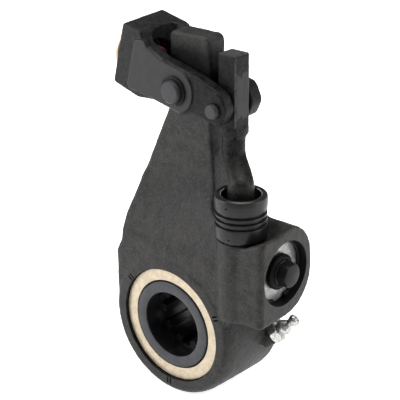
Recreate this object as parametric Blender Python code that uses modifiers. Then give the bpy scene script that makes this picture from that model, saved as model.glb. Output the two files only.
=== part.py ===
# Brake slack adjuster: cast housing with its lever arm, clevis, link, boot and worm drive.
# Frame: origin on the camshaft bore's axis at mid width, +Z up along the arm,
# -Y out of the front face, +X towards the adjusting hex.
import math

import bmesh
import bpy
from mathutils import Matrix, Vector

MM = 0.001
GAP = 0.3 * MM                     # running or fitting gap between neighbouring pieces
SMOOTH_ANGLE = math.radians(35)
FLAT_ANGLE = math.radians(0.3)

# Hub and its two cover rings
HUB_WIDTH = 45.0 * MM
HUB_WALL = 9.3 * MM                # casting outside the cover rings
HUB_EDGE = 3.8 * MM                # how far the front edge is rounded in
RING_REACH = 7.2 * MM              # ring's own width from bore to rim
RING_THICKNESS = 3.0 * MM
RING_DEPTH = 2.0 * MM              # how deep the rings sit in the hub's faces
ORING_SIZE = 2.9 * MM
ORING_REACH = 3.9 * MM

# Camshaft spline in the worm wheel
SPLINE_MAJOR = 19.05 * MM
SPLINE_HEIGHT = 3.6 * MM
SPLINE_SPACE = 5.9 * MM
SPLINE_COUNT = 10
SPLINE_RELIEF = 0.8 * MM           # plain bore's radius beyond the spline's
SPLINE_START = 12.5 * MM           # plain bore's depth from the front face
NECK_WALL = 6.55 * MM              # wheel's neck round that plain bore

# Worm and wheel mesh
WHEEL_TEETH = 26
TOOTH_CLEARANCE = 0.8 * MM         # wheel's tooth tips to the hub's bore
TEETH_INSET = 3.3 * MM             # teeth's end below the O-rings
NECK_CLEARANCE = 0.9 * MM          # wheel's neck inside the cover rings
HUB_SLEEVE_PROUD = 0.4 * MM        # neck beyond the ring's face
WORM_PITCH = 13.5 * MM
TOOTH_ADDENDUM = 1.3 * MM
TOOTH_DEDENDUM = 1.7 * MM
TOOTH_SHARE = 0.40                 # tooth thickness as a share of the pitch

# Worm shaft and what sits on it, measured along X
SHAFT_RADIUS = 4.8 * MM
WORM_START = -17.0 * MM
WORM_LENGTH = 39.0 * MM
WORM_BUSHING_LENGTH = 14.0 * MM
WORM_BUSHING_WALL = 3.1 * MM
CLUTCH_RADIUS = 9.5 * MM
CLUTCH_NECK_LENGTH = 5.5 * MM
CLUTCH_HUB_LENGTH = 6.0 * MM
SPRING_WIRE = 0.9 * MM
SPRING_TURNS = 4
HEAD_NECK = 7.3 * MM               # shaft's thick neck under the hex
HEX_FLATS = 12.7 * MM
HEX_PROUD = 4.1 * MM               # hex beyond the lobe's face
HEX_LENGTH = 6.0 * MM
BEARING_THICKNESS = 3.6 * MM
PLATE_THICKNESS = 2.5 * MM
PLATE_RADIUS = 18.4 * MM
PLATE_DEPTH = 6.5 * MM             # plate's face below the lobe's face
CLIP_THICKNESS = 1.5 * MM
CLIP_REACH = 2.2 * MM
CLIP_GROOVE = 0.8 * MM
SEAL_RADIUS = 10.2 * MM
SEAL_HEIGHT = 3.8 * MM

# Worm housing lobe
LOBE_FACE = 66.0 * MM
LOBE_BACK = 21.0 * MM
LOBE_FRONT = 22.2 * MM
LOBE_TOP = 25.8 * MM               # above the worm's axis
LOBE_BOTTOM = 26.7 * MM            # below the worm's axis
LOBE_ROUND = 20.0 * MM
LOBE_EDGE = 1.6 * MM
LOBE_CORNER = 5.0 * MM             # its front upright corner, seen from above

# Rack, its boss, rod guide and boot, on one vertical axis
RACK_X = 42.4 * MM
PINION_TEETH = 16
PINION_MODULE = 1.0 * MM
RACK_RADIUS = 7.15 * MM
RACK_TO_PITCH = 2.1 * MM           # rack's axis to its pitch line
RACK_BOTTOM = 16.2 * MM            # rack's lower end below the worm's axis
RACK_TOOTH_TOP = 16.8 * MM         # top of the toothed flat above the worm's axis
BOSS_RADIUS = 13.3 * MM
BOSS_TOP = 18.8 * MM               # above the worm's axis
SPOT_RADIUS = 15.4 * MM
GUIDE_WALL = 2.3 * MM
GUIDE_DEPTH = 5.0 * MM
GUIDE_PROUD = 5.0 * MM
BOOT_RADIUS = 14.2 * MM
BOOT_HEIGHT = 25.7 * MM
BOOT_WALL = 3.0 * MM
BOOT_GROOVE = 1.5 * MM
BOOT_PITCH = 3.3 * MM
BALL_RADIUS = 4.7 * MM
BALL_GAP = 1.2 * MM                # open joint: the link's ball moves sideways in the rack
BALL_NECK = 3.2 * MM
PLUG_THICKNESS = 2.7 * MM
PLUG_RADIUS = 8.8 * MM

# Arm
ARM_LENGTH = 139.7 * MM
ARM_THICKNESS = 13.0 * MM
ARM_ABOVE_PIN = 30.3 * MM
ARM_LEFT = 9.0 * MM
ARM_RIGHT = 16.5 * MM
ARM_FOOT_LEFT = 35.0 * MM
ARM_CORNER = 4.0 * MM
FLARE_START = 46.0 * MM            # height where the body starts to thin
FLARE_END = 88.0 * MM
BODY_LEFT = 39.8 * MM
SADDLE_TOP = 71.0 * MM             # body's top between the arm and the boot
EYE_BUSHING_WALL = 2.3 * MM

# Clevis, in its own frame: x along its axis from the large pin, tilted by CLEVIS_TILT
CLEVIS_TILT = math.radians(12)
CLEVIS_NEAR = 14.0 * MM            # mid plane to the front ear's face
CLEVIS_FAR = 15.2 * MM             # mid plane to the back ear's face
CLEVIS_SLOT = 13.8 * MM
CLEVIS_BACK = 43.0 * MM            # large pin to the threaded end's face
CLEVIS_SLOT_END = 29.0 * MM
CLEVIS_TOP = 22.4 * MM
CLEVIS_BOTTOM = 13.4 * MM
EAR_TOP = 14.6 * MM
EAR_BOTTOM = 8.0 * MM
EAR_END = 8.0 * MM                 # beyond the small pin
PAD_RADIUS = 12.6 * MM
PAD_HEIGHT = 1.0 * MM
LARGE_PIN = 6.35 * MM
LARGE_PIN_PROUD = 4.0 * MM
SMALL_PIN = 3.175 * MM
SMALL_HEAD = 4.05 * MM
SMALL_HEAD_HEIGHT = 2.7 * MM
PIN_SPACING = 27.5 * MM
PIN_CLIP_THICKNESS = 1.0 * MM
COTTER_WIRE = 0.9 * MM
COLLAR_RADIUS = 10.4 * MM
COLLAR_HEAD = 13.4 * MM
COLLAR_HEAD_HEIGHT = 2.2 * MM
COLLAR_BORE = 7.9 * MM
COLLAR_RISE = 4.3 * MM             # collar's axis above the large pin's

# Link
LINK_WIDTH = 10.2 * MM
LINK_THICKNESS = 12.8 * MM
LINK_LEFT = 24.0 * MM
LINK_ABOVE_PIN = 29.0 * MM
LINK_BAR_SHARE = 0.3722            # bar below the pin, as a share of the span from pin to boot
LINK_EYE = 6.8 * MM
LINK_BUSHING_WALL = 1.3 * MM
ROD_RADIUS = 7.15 * MM
NECK_RADIUS = 5.65 * MM
LINK_NECK_SHARE = 0.2908           # straight neck, as a share of that span
LINK_BEND_SHARE = 0.2560           # bend, as a share of that span

# Grease fitting
FITTING_REACH = 2.7 * MM           # its seat beyond the hub's rim
FITTING_INSET = 9.0 * MM           # its seat in from the back face
FITTING_DROP = 2.5 * MM            # its seat below the bore's axis
FITTING_AXIS = Vector((0.68, 0.50, 0.54)).normalized()
FITTING_THREAD = 3.0 * MM
FITTING_BOSS = 5.2 * MM
FITTING_THREAD_LENGTH = 5.4 * MM
FITTING_HEX_CORNER = 6.1 * MM
FITTING_HEX_HEIGHT = 4.6 * MM
FITTING_HEAD = 3.3 * MM
FITTING_LENGTH = 16.6 * MM
FITTING_BALL = 1.5 * MM

# Sizes that follow from the ones above
HALF_WIDTH = HUB_WIDTH / 2
SPLINE_MINOR = SPLINE_MAJOR - SPLINE_HEIGHT
PLAIN_BORE = SPLINE_MAJOR + SPLINE_RELIEF
HUB_SLEEVE = PLAIN_BORE + NECK_WALL
RING_BORE = HUB_SLEEVE + NECK_CLEARANCE
RING_RADIUS = RING_BORE + RING_REACH
HUB_RADIUS = RING_RADIUS + HUB_WALL
WHEEL_SHOULDER = RING_RADIUS - ORING_REACH - GAP
WHEEL_TIP = RING_RADIUS + GAP - TOOTH_CLEARANCE
WHEEL_PITCH = WHEEL_TIP - TOOTH_ADDENDUM
BODY_HALF = HALF_WIDTH - 0.5 * MM  # the body between hub and arm stands just inside the hub's faces
RING_FACE = HALF_WIDTH - RING_DEPTH
RING_BACK = RING_FACE - RING_THICKNESS
ORING_BACK = RING_BACK - GAP - ORING_SIZE
WHEEL_TOOTH_WIDTH = 2 * (ORING_BACK - TEETH_INSET)
WORM_Z = WHEEL_PITCH + WORM_PITCH
WORM_LEAD = 2 * math.pi * WHEEL_PITCH / WHEEL_TEETH
WORM_END = WORM_START + WORM_LENGTH
WORM_BORE = WORM_PITCH + TOOTH_ADDENDUM + 2 * GAP
SHAFT_BORE = SHAFT_RADIUS + GAP
PLATE_FACE = LOBE_FACE - PLATE_DEPTH
PLATE_BACK = PLATE_FACE - PLATE_THICKNESS
RECESS_RADIUS = PLATE_RADIUS + GAP
HEX_END = LOBE_FACE + HEX_PROUD
PINION_PITCH = PINION_TEETH * PINION_MODULE / 2
RACK_Y = -(PINION_PITCH + RACK_TO_PITCH)
RACK_BORE = RACK_RADIUS + GAP
BOSS_TOP_Z = WORM_Z + BOSS_TOP
BOOT_BASE = BOSS_TOP_Z + GAP
GUIDE_TOP = BOSS_TOP_Z + GUIDE_PROUD
GUIDE_RADIUS = RACK_BORE + GUIDE_WALL
SOCKET_RADIUS = BALL_RADIUS + BALL_GAP
SOCKET_FLOOR = WORM_Z + RACK_TOOTH_TOP + 0.7 * MM
BALL_Z = SOCKET_FLOOR + BALL_GAP + BALL_RADIUS
RETAINER_BOTTOM = BALL_Z + BALL_RADIUS + BALL_GAP
RETAINER_HEIGHT = 1.7 * MM
RACK_TOP = RETAINER_BOTTOM + RETAINER_HEIGHT
ROD_BOTTOM = RACK_TOP + 2.4 * MM
BIG_PIN_BORE = LARGE_PIN + GAP
ARM_TOP = ARM_LENGTH + ARM_ABOVE_PIN
ARM_HALF = ARM_THICKNESS / 2
PAD_NEAR = CLEVIS_NEAR + PAD_HEIGHT
PAD_FAR = CLEVIS_FAR + PAD_HEIGHT
LARGE_PIN_PLACE = Vector((0, 0, ARM_LENGTH))
CLEVIS_FRAME = Matrix.Translation(LARGE_PIN_PLACE) @ Matrix.Rotation(CLEVIS_TILT, 4, "Y")
SMALL_PIN_PLACE = CLEVIS_FRAME @ Vector((PIN_SPACING, 0, 0))
LINK_TOP = SMALL_PIN_PLACE.z + LINK_ABOVE_PIN
LINK_SPAN = SMALL_PIN_PLACE.z - BOOT_BASE - BOOT_HEIGHT
LINK_BOTTOM = SMALL_PIN_PLACE.z - LINK_SPAN * LINK_BAR_SHARE
BEND_TOP = LINK_BOTTOM - LINK_SPAN * LINK_NECK_SHARE
BEND_HEIGHT = LINK_SPAN * LINK_BEND_SHARE
FITTING_PLACE = Vector((HUB_RADIUS + FITTING_REACH, HALF_WIDTH - FITTING_INSET, -FITTING_DROP))


def clear_scene():
    for item in list(bpy.data.objects):
        bpy.data.objects.remove(item, do_unlink=True)


def make_collection(name):
    group = bpy.data.collections.new(name)
    bpy.context.scene.collection.children.link(group)
    return group


clear_scene()
PARTS = make_collection("brake_slack_adjuster")
CUTTERS = make_collection("cutters")


def material(name, colour, roughness, metallic):
    made = bpy.data.materials.new(name)
    made.use_nodes = True
    shader = made.node_tree.nodes["Principled BSDF"]
    shader.inputs["Base Color"].default_value = (*colour, 1)
    shader.inputs["Roughness"].default_value = roughness
    shader.inputs["Metallic"].default_value = metallic
    return made


CAST_IRON = material("cast_iron", (0.075, 0.073, 0.07), 0.62, 0.5)
BLACK_OXIDE = material("black_oxide", (0.035, 0.035, 0.037), 0.5, 0.7)
PALE_GOLD = material("pale_gold_zinc", (0.68, 0.55, 0.36), 0.42, 0.9)
STEEL = material("ground_steel", (0.55, 0.55, 0.56), 0.35, 1.0)
WORM_STEEL = material("hardened_steel", (0.32, 0.32, 0.34), 0.38, 1.0)
RUBBER = material("black_rubber", (0.02, 0.02, 0.022), 0.55, 0.0)
BRONZE = material("bearing_bronze", (0.5, 0.33, 0.15), 0.45, 0.9)
BRIGHT_ZINC = material("bright_zinc", (0.78, 0.78, 0.76), 0.25, 1.0)
RED_PLASTIC = material("red_plastic", (0.45, 0.03, 0.03), 0.45, 0.0)


def add_object(name, mesh, surface=None):
    made = bpy.data.objects.new(name, mesh)
    if surface is None:
        CUTTERS.objects.link(made)
        made.hide_render = True
        made.display_type = "WIRE"
    else:
        PARTS.objects.link(made)
        mesh.materials.append(surface)
    return made


def smooth(mesh):
    mesh.shade_smooth()
    mesh.set_sharp_from_angle(angle=SMOOTH_ANGLE)


def axis_matrix(origin, direction):
    """Places local +Z along a direction, at an origin."""
    turn = Vector((0, 0, 1)).rotation_difference(Vector(direction))
    return Matrix.Translation(Vector(origin)) @ turn.to_matrix().to_4x4()


def box(name, low, high, surface=None, place=None):
    mesh = bpy.data.meshes.new(name)
    shape = bmesh.new()
    bmesh.ops.create_cube(shape, size=1)
    size = [top - bottom for bottom, top in zip(low, high)]
    centre = [(top + bottom) / 2 for bottom, top in zip(low, high)]
    bmesh.ops.scale(shape, vec=size, verts=shape.verts)
    bmesh.ops.translate(shape, vec=centre, verts=shape.verts)
    shape.to_mesh(mesh)
    shape.free()
    if place is not None:
        mesh.transform(place)
    return add_object(name, mesh, surface)


def rod(name, radius, start, end, surface=None, sides=48, end_radius=None, phase=0):
    """A cylinder or cone between two points; phase turns it by a share of one facet."""
    start = Vector(start)
    end = Vector(end)
    mesh = bpy.data.meshes.new(name)
    shape = bmesh.new()
    top = radius if end_radius is None else end_radius
    length = (end - start).length
    bmesh.ops.create_cone(shape, cap_ends=True, segments=sides, radius1=radius, radius2=top, depth=length)
    bmesh.ops.translate(shape, vec=(0, 0, length / 2), verts=shape.verts)
    shape.to_mesh(mesh)
    shape.free()
    mesh.transform(Matrix.Rotation(phase * 2 * math.pi / sides, 4, "Z"))
    mesh.transform(axis_matrix(start, end - start))
    smooth(mesh)
    return add_object(name, mesh, surface)


def ball(name, radius, centre, surface=None, sides=24):
    mesh = bpy.data.meshes.new(name)
    shape = bmesh.new()
    bmesh.ops.create_uvsphere(shape, u_segments=sides, v_segments=sides // 2, radius=radius)
    bmesh.ops.translate(shape, vec=centre, verts=shape.verts)
    shape.to_mesh(mesh)
    shape.free()
    smooth(mesh)
    return add_object(name, mesh, surface)


def turned(name, profile, origin, direction, surface=None, sides=40, closed=True):
    """Turns (radius, height) points about a line; the profile runs down its outer side."""
    mesh = bpy.data.meshes.new(name)
    count = len(profile)
    edges = [(i, i + 1) for i in range(count - 1)]
    if closed:
        edges.append((count - 1, 0))
    mesh.from_pydata([(radius, 0, height) for radius, height in profile], edges, [])
    made = add_object(name, mesh, surface)
    made.matrix_world = axis_matrix(origin, direction)
    screw = made.modifiers.new("turn", "SCREW")
    screw.axis = "Z"
    screw.steps = sides
    screw.render_steps = sides
    screw.use_merge_vertices = True
    screw.merge_threshold = 0.00001
    screw.use_smooth_shade = False
    return made


def tube_ring(name, inner, outer, low, high, origin, direction, surface, sides=40):
    profile = [(inner, high), (outer, high), (outer, low), (inner, low)]
    return turned(name, profile, origin, direction, surface, sides)


def curve_mesh(curve):
    """Turns a curve object into a welded mesh and removes the curve."""
    depsgraph = bpy.context.evaluated_depsgraph_get()
    mesh = bpy.data.meshes.new_from_object(curve.evaluated_get(depsgraph))
    mesh.transform(curve.matrix_world)
    bpy.data.objects.remove(curve, do_unlink=True)
    shape = bmesh.new()
    shape.from_mesh(mesh)
    bmesh.ops.remove_doubles(shape, verts=shape.verts, dist=0.000001)
    bmesh.ops.dissolve_limit(shape, angle_limit=FLAT_ANGLE, verts=shape.verts, edges=shape.edges)
    bmesh.ops.recalc_face_normals(shape, faces=shape.faces)
    shape.to_mesh(mesh)
    shape.free()
    mesh.materials.clear()
    return mesh


def plate(name, outline, low, high, plane, surface=None, place=None):
    """A flat outline with a thickness; plane XZ runs along Y, YZ along X and XY along Z."""
    data = bpy.data.curves.new(name, "CURVE")
    data.dimensions = "2D"
    data.fill_mode = "BOTH"
    data.extrude = (high - low) / 2
    spline = data.splines.new("POLY")
    spline.points.add(len(outline) - 1)
    for point, (across, up) in zip(spline.points, outline):
        point.co = (across, up, 0, 1)
    spline.use_cyclic_u = True
    curve = bpy.data.objects.new(name, data)
    PARTS.objects.link(curve)
    middle = (high + low) / 2
    turns = {
        "XZ": Matrix(((1, 0, 0, 0), (0, 0, 1, middle), (0, 1, 0, 0), (0, 0, 0, 1))),
        "YZ": Matrix(((0, 0, 1, middle), (1, 0, 0, 0), (0, 1, 0, 0), (0, 0, 0, 1))),
        "XY": Matrix(((1, 0, 0, 0), (0, 1, 0, 0), (0, 0, 1, middle), (0, 0, 0, 1))),
    }
    bpy.context.view_layer.update()
    mesh = curve_mesh(curve)
    mesh.transform(turns[plane])
    if place is not None:
        mesh.transform(place)
    shape = bmesh.new()
    shape.from_mesh(mesh)
    bmesh.ops.recalc_face_normals(shape, faces=shape.faces)
    shape.to_mesh(mesh)
    shape.free()
    smooth(mesh)
    return add_object(name, mesh, surface)


def wire(name, points, thickness, surface=None, sides=2, radii=None):
    """A round wire through points, with closed ends, as a welded mesh."""
    data = bpy.data.curves.new(name, "CURVE")
    data.dimensions = "3D"
    data.bevel_depth = thickness
    data.bevel_resolution = sides
    data.use_fill_caps = True
    spline = data.splines.new("POLY")
    spline.points.add(len(points) - 1)
    for index, point in enumerate(points):
        spline.points[index].co = (*point, 1)
        spline.points[index].radius = 1 if radii is None else radii[index]
    curve = bpy.data.objects.new(name, data)
    PARTS.objects.link(curve)
    bpy.context.view_layer.update()
    mesh = curve_mesh(curve)
    smooth(mesh)
    return add_object(name, mesh, surface)


def rounded(corners, step=math.radians(15)):
    """Rounds an outline's corners; each corner is (across, up, radius)."""
    outline = []
    count = len(corners)
    for index in range(count):
        here = Vector(corners[index][:2])
        radius = corners[index][2]
        before = (Vector(corners[index - 1][:2]) - here).normalized()
        after = (Vector(corners[(index + 1) % count][:2]) - here).normalized()
        opening = before.angle(after)
        if radius == 0 or opening > math.radians(178):
            outline.append(tuple(here))
            continue
        reach = radius / math.tan(opening / 2)
        centre = here + (before + after).normalized() * radius / math.sin(opening / 2)
        first = here + before * reach - centre
        last = here + after * reach - centre
        sweep = first.angle_signed(last)
        pieces = max(1, math.ceil(abs(sweep) / step))
        for piece in range(pieces + 1):
            turn = -sweep * piece / pieces
            outline.append((
                centre.x + first.x * math.cos(turn) - first.y * math.sin(turn),
                centre.y + first.x * math.sin(turn) + first.y * math.cos(turn),
            ))
    return outline


def boolean(target, tool, operation):
    step = target.modifiers.new(f"{operation.lower()}_{tool.name}", "BOOLEAN")
    step.operation = operation
    step.solver = "EXACT"
    step.object = tool
    return target


def cut(target, *tools):
    for tool in tools:
        boolean(target, tool, "DIFFERENCE")


def join(target, *tools):
    for tool in tools:
        boolean(target, tool, "UNION")


def loft(name, sections, surface=None):
    """Skins equal rings of points and caps both ends."""
    mesh = bpy.data.meshes.new(name)
    shape = bmesh.new()
    rings = [[shape.verts.new(point) for point in section] for section in sections]
    size = len(rings[0])
    for lower, upper in zip(rings, rings[1:]):
        for index in range(size):
            following = (index + 1) % size
            shape.faces.new((lower[index], lower[following], upper[following], upper[index]))
    shape.faces.new(rings[0])
    shape.faces.new(rings[-1])
    bmesh.ops.recalc_face_normals(shape, faces=shape.faces)
    shape.to_mesh(mesh)
    shape.free()
    smooth(mesh)
    return add_object(name, mesh, surface)


def tooth_ring(teeth, root, tip, pitch_radius, share):
    """Corner points (angle, radius) of straight-sided teeth, the first centred on angle 0."""
    step = 2 * math.pi / teeth
    slope = math.tan(math.radians(20))
    points = []
    for tooth in range(teeth):
        centre = tooth * step
        half = share * step / 2
        at_root = half + (pitch_radius - root) * slope / pitch_radius
        at_tip = half - (tip - pitch_radius) * slope / pitch_radius
        points += [
            (centre - step / 2, root),
            (centre - at_root, root),
            (centre - at_tip, tip),
            (centre + at_tip, tip),
            (centre + at_root, root),
        ]
    return points


def flare_outline():
    """Side view of the body: full width at the hub, thinning in a soft S to the arm."""
    side = []
    steps = 10
    for index in range(steps + 1):
        share = index / steps
        swell = (1 + math.cos(math.pi * share)) / 2
        height = FLARE_START + (FLARE_END - FLARE_START) * share
        side.append((ARM_HALF + (BODY_HALF - ARM_HALF) * swell, height))
    low = -HUB_RADIUS - 5 * MM
    top = ARM_TOP + 5 * MM
    right = [(BODY_HALF, low)] + side + [(ARM_HALF, top)]
    left = [(-across, up) for across, up in reversed(right)]
    return right + left


def build_housing():
    """Hub, arm, worm lobe and rack boss as one casting, then its bores."""
    flare_span = FLARE_END - FLARE_START
    foot = FLARE_START + 0.4 * flare_span
    corners = [
        (-ARM_LEFT, ARM_TOP, ARM_CORNER),
        (ARM_RIGHT, ARM_TOP, ARM_CORNER),
        (ARM_RIGHT, FLARE_END + 23.7 * MM, 60 * MM),
        (ARM_RIGHT + 3 * MM, FLARE_END + 9 * MM, 20 * MM),
        (ARM_RIGHT + 4 * MM, SADDLE_TOP + 1 * MM, 6 * MM),
        (RACK_X + 1 * MM, SADDLE_TOP, 0),
        (RACK_X + 1 * MM, WORM_Z - LOBE_BOTTOM + 1 * MM, 0),
        (BODY_LEFT - 5 * MM, 0, 0),
        (-BODY_LEFT, 0, 0),
        (-BODY_LEFT, WORM_Z - 11 * MM, 3 * MM),
        (-BODY_LEFT + 3.2 * MM, WORM_Z - 2 * MM, 4 * MM),
        (-ARM_FOOT_LEFT, foot + 5 * MM, 14 * MM),
        (-ARM_LEFT, ARM_LENGTH - 9.5 * MM, 24 * MM),
    ]
    housing = plate("housing", rounded(corners), -HUB_WIDTH, HUB_WIDTH, "XZ", CAST_IRON)
    side = plate("flare_side", flare_outline(), -2 * HUB_RADIUS, 2 * HUB_RADIUS, "YZ")
    boolean(housing, side, "INTERSECT")

    face = HUB_RADIUS - HUB_EDGE
    edge_steps = 6
    profile = [(0, HALF_WIDTH)]
    for index in range(edge_steps + 1):
        turn = math.pi / 2 * index / edge_steps
        profile.append((face + HUB_EDGE * math.sin(turn), HALF_WIDTH - 2.4 * HUB_EDGE * (1 - math.cos(turn))))
    rear_edge = HUB_EDGE / 3
    profile += [(HUB_RADIUS, -HALF_WIDTH + rear_edge), (HUB_RADIUS - rear_edge, -HALF_WIDTH), (0, -HALF_WIDTH)]
    hub = turned("hub_body", profile, (0, 0, 0), (0, -1, 0), sides=64, closed=False)
    join(housing, hub)

    top = WORM_Z + LOBE_TOP
    bottom = WORM_Z - LOBE_BOTTOM
    lobe_corners = [
        (-LOBE_FRONT, top, 3 * MM),
        (LOBE_BACK, top, LOBE_ROUND),
        (LOBE_BACK, bottom, LOBE_ROUND),
        (-LOBE_FRONT, bottom, 3 * MM),
    ]
    lobe_start = RACK_X - 1.5 * MM
    lobe = plate("lobe_body", rounded(lobe_corners), lobe_start, LOBE_FACE, "YZ")
    bevel = lobe.modifiers.new("edge", "BEVEL")
    bevel.width = LOBE_EDGE
    bevel.segments = 2
    bevel.limit_method = "ANGLE"
    bevel.angle_limit = math.radians(50)
    plan_corners = [
        (lobe_start - 1 * MM, -HUB_RADIUS, 0),
        (LOBE_FACE - LOBE_CORNER, -HUB_RADIUS, 0),
        (LOBE_FACE - LOBE_CORNER, -LOBE_FRONT - 0.01 * MM, 0),
        (LOBE_FACE + 0.01 * MM, -LOBE_FRONT - 0.01 * MM, LOBE_CORNER),
        (LOBE_FACE + 0.01 * MM, HUB_RADIUS, 0),
        (lobe_start - 1 * MM, HUB_RADIUS, 0),
    ]
    boolean(lobe, plate("lobe_plan", rounded(plan_corners), 0, 2 * HUB_RADIUS, "XY"), "INTERSECT")
    boss = rod("rack_boss", BOSS_RADIUS, (RACK_X, RACK_Y, bottom - 1.5 * MM), (RACK_X, RACK_Y, top - 1 * MM))
    nipple_boss = rod(
        "nipple_boss", FITTING_BOSS, FITTING_PLACE - FITTING_AXIS * 9 * MM, FITTING_PLACE, sides=24,
    )
    join(housing, lobe, boss, nipple_boss)

    ring_bore = rod(
        "ring_bore", RING_RADIUS + GAP, (0, -HUB_WIDTH, 0), (0, HUB_WIDTH, 0), sides=64, phase=0.37,
    )
    worm_bore = rod(
        "worm_bore", WORM_BORE, (WORM_START - 1 * MM, 0, WORM_Z), (PLATE_BACK + 1 * MM, 0, WORM_Z),
        phase=0.37,
    )
    journal_end = WORM_START - WORM_BUSHING_LENGTH - 2 * MM
    journal_radius = SHAFT_BORE + WORM_BUSHING_WALL + GAP
    journal = rod(
        "journal_bore", journal_radius, (journal_end, 0, WORM_Z), (0, 0, WORM_Z), sides=32, phase=0.37,
    )
    recess = rod(
        "recess", RECESS_RADIUS, (PLATE_BACK - GAP, 0, WORM_Z), (LOBE_FACE + 9 * MM, 0, WORM_Z), sides=64,
        phase=0.37,
    )
    groove_low = PLATE_FACE + GAP - 0.2 * MM
    groove_high = groove_low + CLIP_THICKNESS + 0.4 * MM
    groove = rod(
        "clip_groove", RECESS_RADIUS + CLIP_GROOVE, (groove_low, 0, WORM_Z), (groove_high, 0, WORM_Z),
        sides=64, phase=0.37,
    )
    bore_foot = (RACK_X, RACK_Y, bottom - 3 * MM)
    rack_bore = rod("rack_bore", RACK_BORE, bore_foot, (RACK_X, RACK_Y, top + 9 * MM))
    guide_bore = rod(
        "guide_bore", GUIDE_RADIUS + GAP, (RACK_X, RACK_Y, BOSS_TOP_Z - GUIDE_DEPTH),
        (RACK_X, RACK_Y, top + 9 * MM),
    )
    spot = rod("spot_face", SPOT_RADIUS, (RACK_X, RACK_Y, BOSS_TOP_Z), (RACK_X, RACK_Y, top + 9 * MM))
    plug_bore = rod(
        "plug_bore", PLUG_RADIUS + GAP, bore_foot, (RACK_X, RACK_Y, bottom + PLUG_THICKNESS + GAP),
    )
    eye = rod(
        "arm_eye", BIG_PIN_BORE + EYE_BUSHING_WALL + GAP, (0, -HALF_WIDTH, ARM_LENGTH),
        (0, HALF_WIDTH, ARM_LENGTH), sides=32,
    )
    nipple_bore = rod(
        "nipple_bore", FITTING_THREAD + GAP, FITTING_PLACE - FITTING_AXIS * 6 * MM,
        FITTING_PLACE + FITTING_AXIS * 3 * MM, sides=16,
    )
    nipple_spot = rod(
        "nipple_spot", FITTING_BOSS + 1.4 * MM, FITTING_PLACE, FITTING_PLACE + FITTING_AXIS * 12 * MM,
        sides=24, phase=0.37,
    )
    nipple_way = rod(
        "nipple_way", 1.5 * MM, FITTING_PLACE - FITTING_AXIS * 30 * MM, FITTING_PLACE, sides=12,
    )
    cut(
        housing, ring_bore, worm_bore, journal, recess, groove, spot, guide_bore, rack_bore, plug_bore, eye,
        nipple_spot, nipple_bore, nipple_way,
    )


def build_rings():
    """Cover rings and O-rings at both ends of the hub's bore."""
    for name, facing in (("front", -1), ("rear", 1)):
        tube_ring(
            f"{name}_ring", RING_BORE, RING_RADIUS, RING_BACK, RING_FACE, (0, 0, 0), (0, facing, 0),
            PALE_GOLD, 64,
        )
        tube_ring(
            f"{name}_oring", WHEEL_SHOULDER + GAP, RING_RADIUS, ORING_BACK, RING_BACK - GAP, (0, 0, 0),
            (0, facing, 0), RUBBER, 48,
        )


def build_worm_wheel():
    """Toothed wheel with its splined hub; the teeth lean with the worm's thread."""
    root = WHEEL_PITCH - TOOTH_DEDENDUM
    lean = WORM_LEAD / (2 * math.pi * WORM_PITCH * WHEEL_PITCH)
    ring = tooth_ring(WHEEL_TEETH, root, WHEEL_TIP, WHEEL_PITCH, TOOTH_SHARE)
    sections = []
    for share in (-0.5, 0.5):
        along = share * WHEEL_TOOTH_WIDTH
        sections.append([
            (radius * math.sin(angle + lean * along), along, radius * math.cos(angle + lean * along))
            for angle, radius in ring
        ])
    wheel = loft("worm_wheel", sections, WORM_STEEL)
    shoulder_end = RING_BACK - GAP
    neck_end = RING_FACE + HUB_SLEEVE_PROUD
    profile = [
        (0, neck_end),
        (HUB_SLEEVE - 0.5 * MM, neck_end),
        (HUB_SLEEVE, neck_end - 0.5 * MM),
        (HUB_SLEEVE, shoulder_end),
        (WHEEL_SHOULDER, shoulder_end),
        (WHEEL_SHOULDER, -shoulder_end),
        (HUB_SLEEVE, -shoulder_end),
        (HUB_SLEEVE, -neck_end + 0.5 * MM),
        (HUB_SLEEVE - 0.5 * MM, -neck_end),
        (0, -neck_end),
    ]
    core = turned("wheel_core", profile, (0, 0, 0), (0, -1, 0), sides=48, closed=False)
    join(wheel, core)

    outline = []
    for tooth in range(SPLINE_COUNT):
        centre = 2 * math.pi * tooth / SPLINE_COUNT
        outer_half = math.asin(SPLINE_SPACE / 2 / SPLINE_MAJOR)
        inner_half = math.asin(SPLINE_SPACE / 2 / SPLINE_MINOR)
        for angle, radius in (
            (centre - inner_half, SPLINE_MINOR),
            (centre - outer_half, SPLINE_MAJOR),
            (centre, SPLINE_MAJOR),
            (centre + outer_half, SPLINE_MAJOR),
            (centre + inner_half, SPLINE_MINOR),
        ):
            outline.append((radius * math.sin(angle), radius * math.cos(angle)))
    spline = plate("spline_bore", outline, -HUB_WIDTH, HUB_WIDTH, "XZ")
    cut(wheel, spline)
    beyond = 1 * MM
    plain_bore = rod(
        "plain_bore", PLAIN_BORE, (0, -neck_end - beyond, 0), (0, -neck_end + SPLINE_START, 0), phase=0.37,
    )
    rear_mouth = rod(
        "spline_mouth", PLAIN_BORE + beyond, (0, neck_end + beyond, 0), (0, neck_end - 2 * SPLINE_RELIEF, 0),
        end_radius=PLAIN_BORE - 2 * SPLINE_RELIEF, phase=0.37,
    )
    cut(wheel, plain_bore, rear_mouth)


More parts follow.
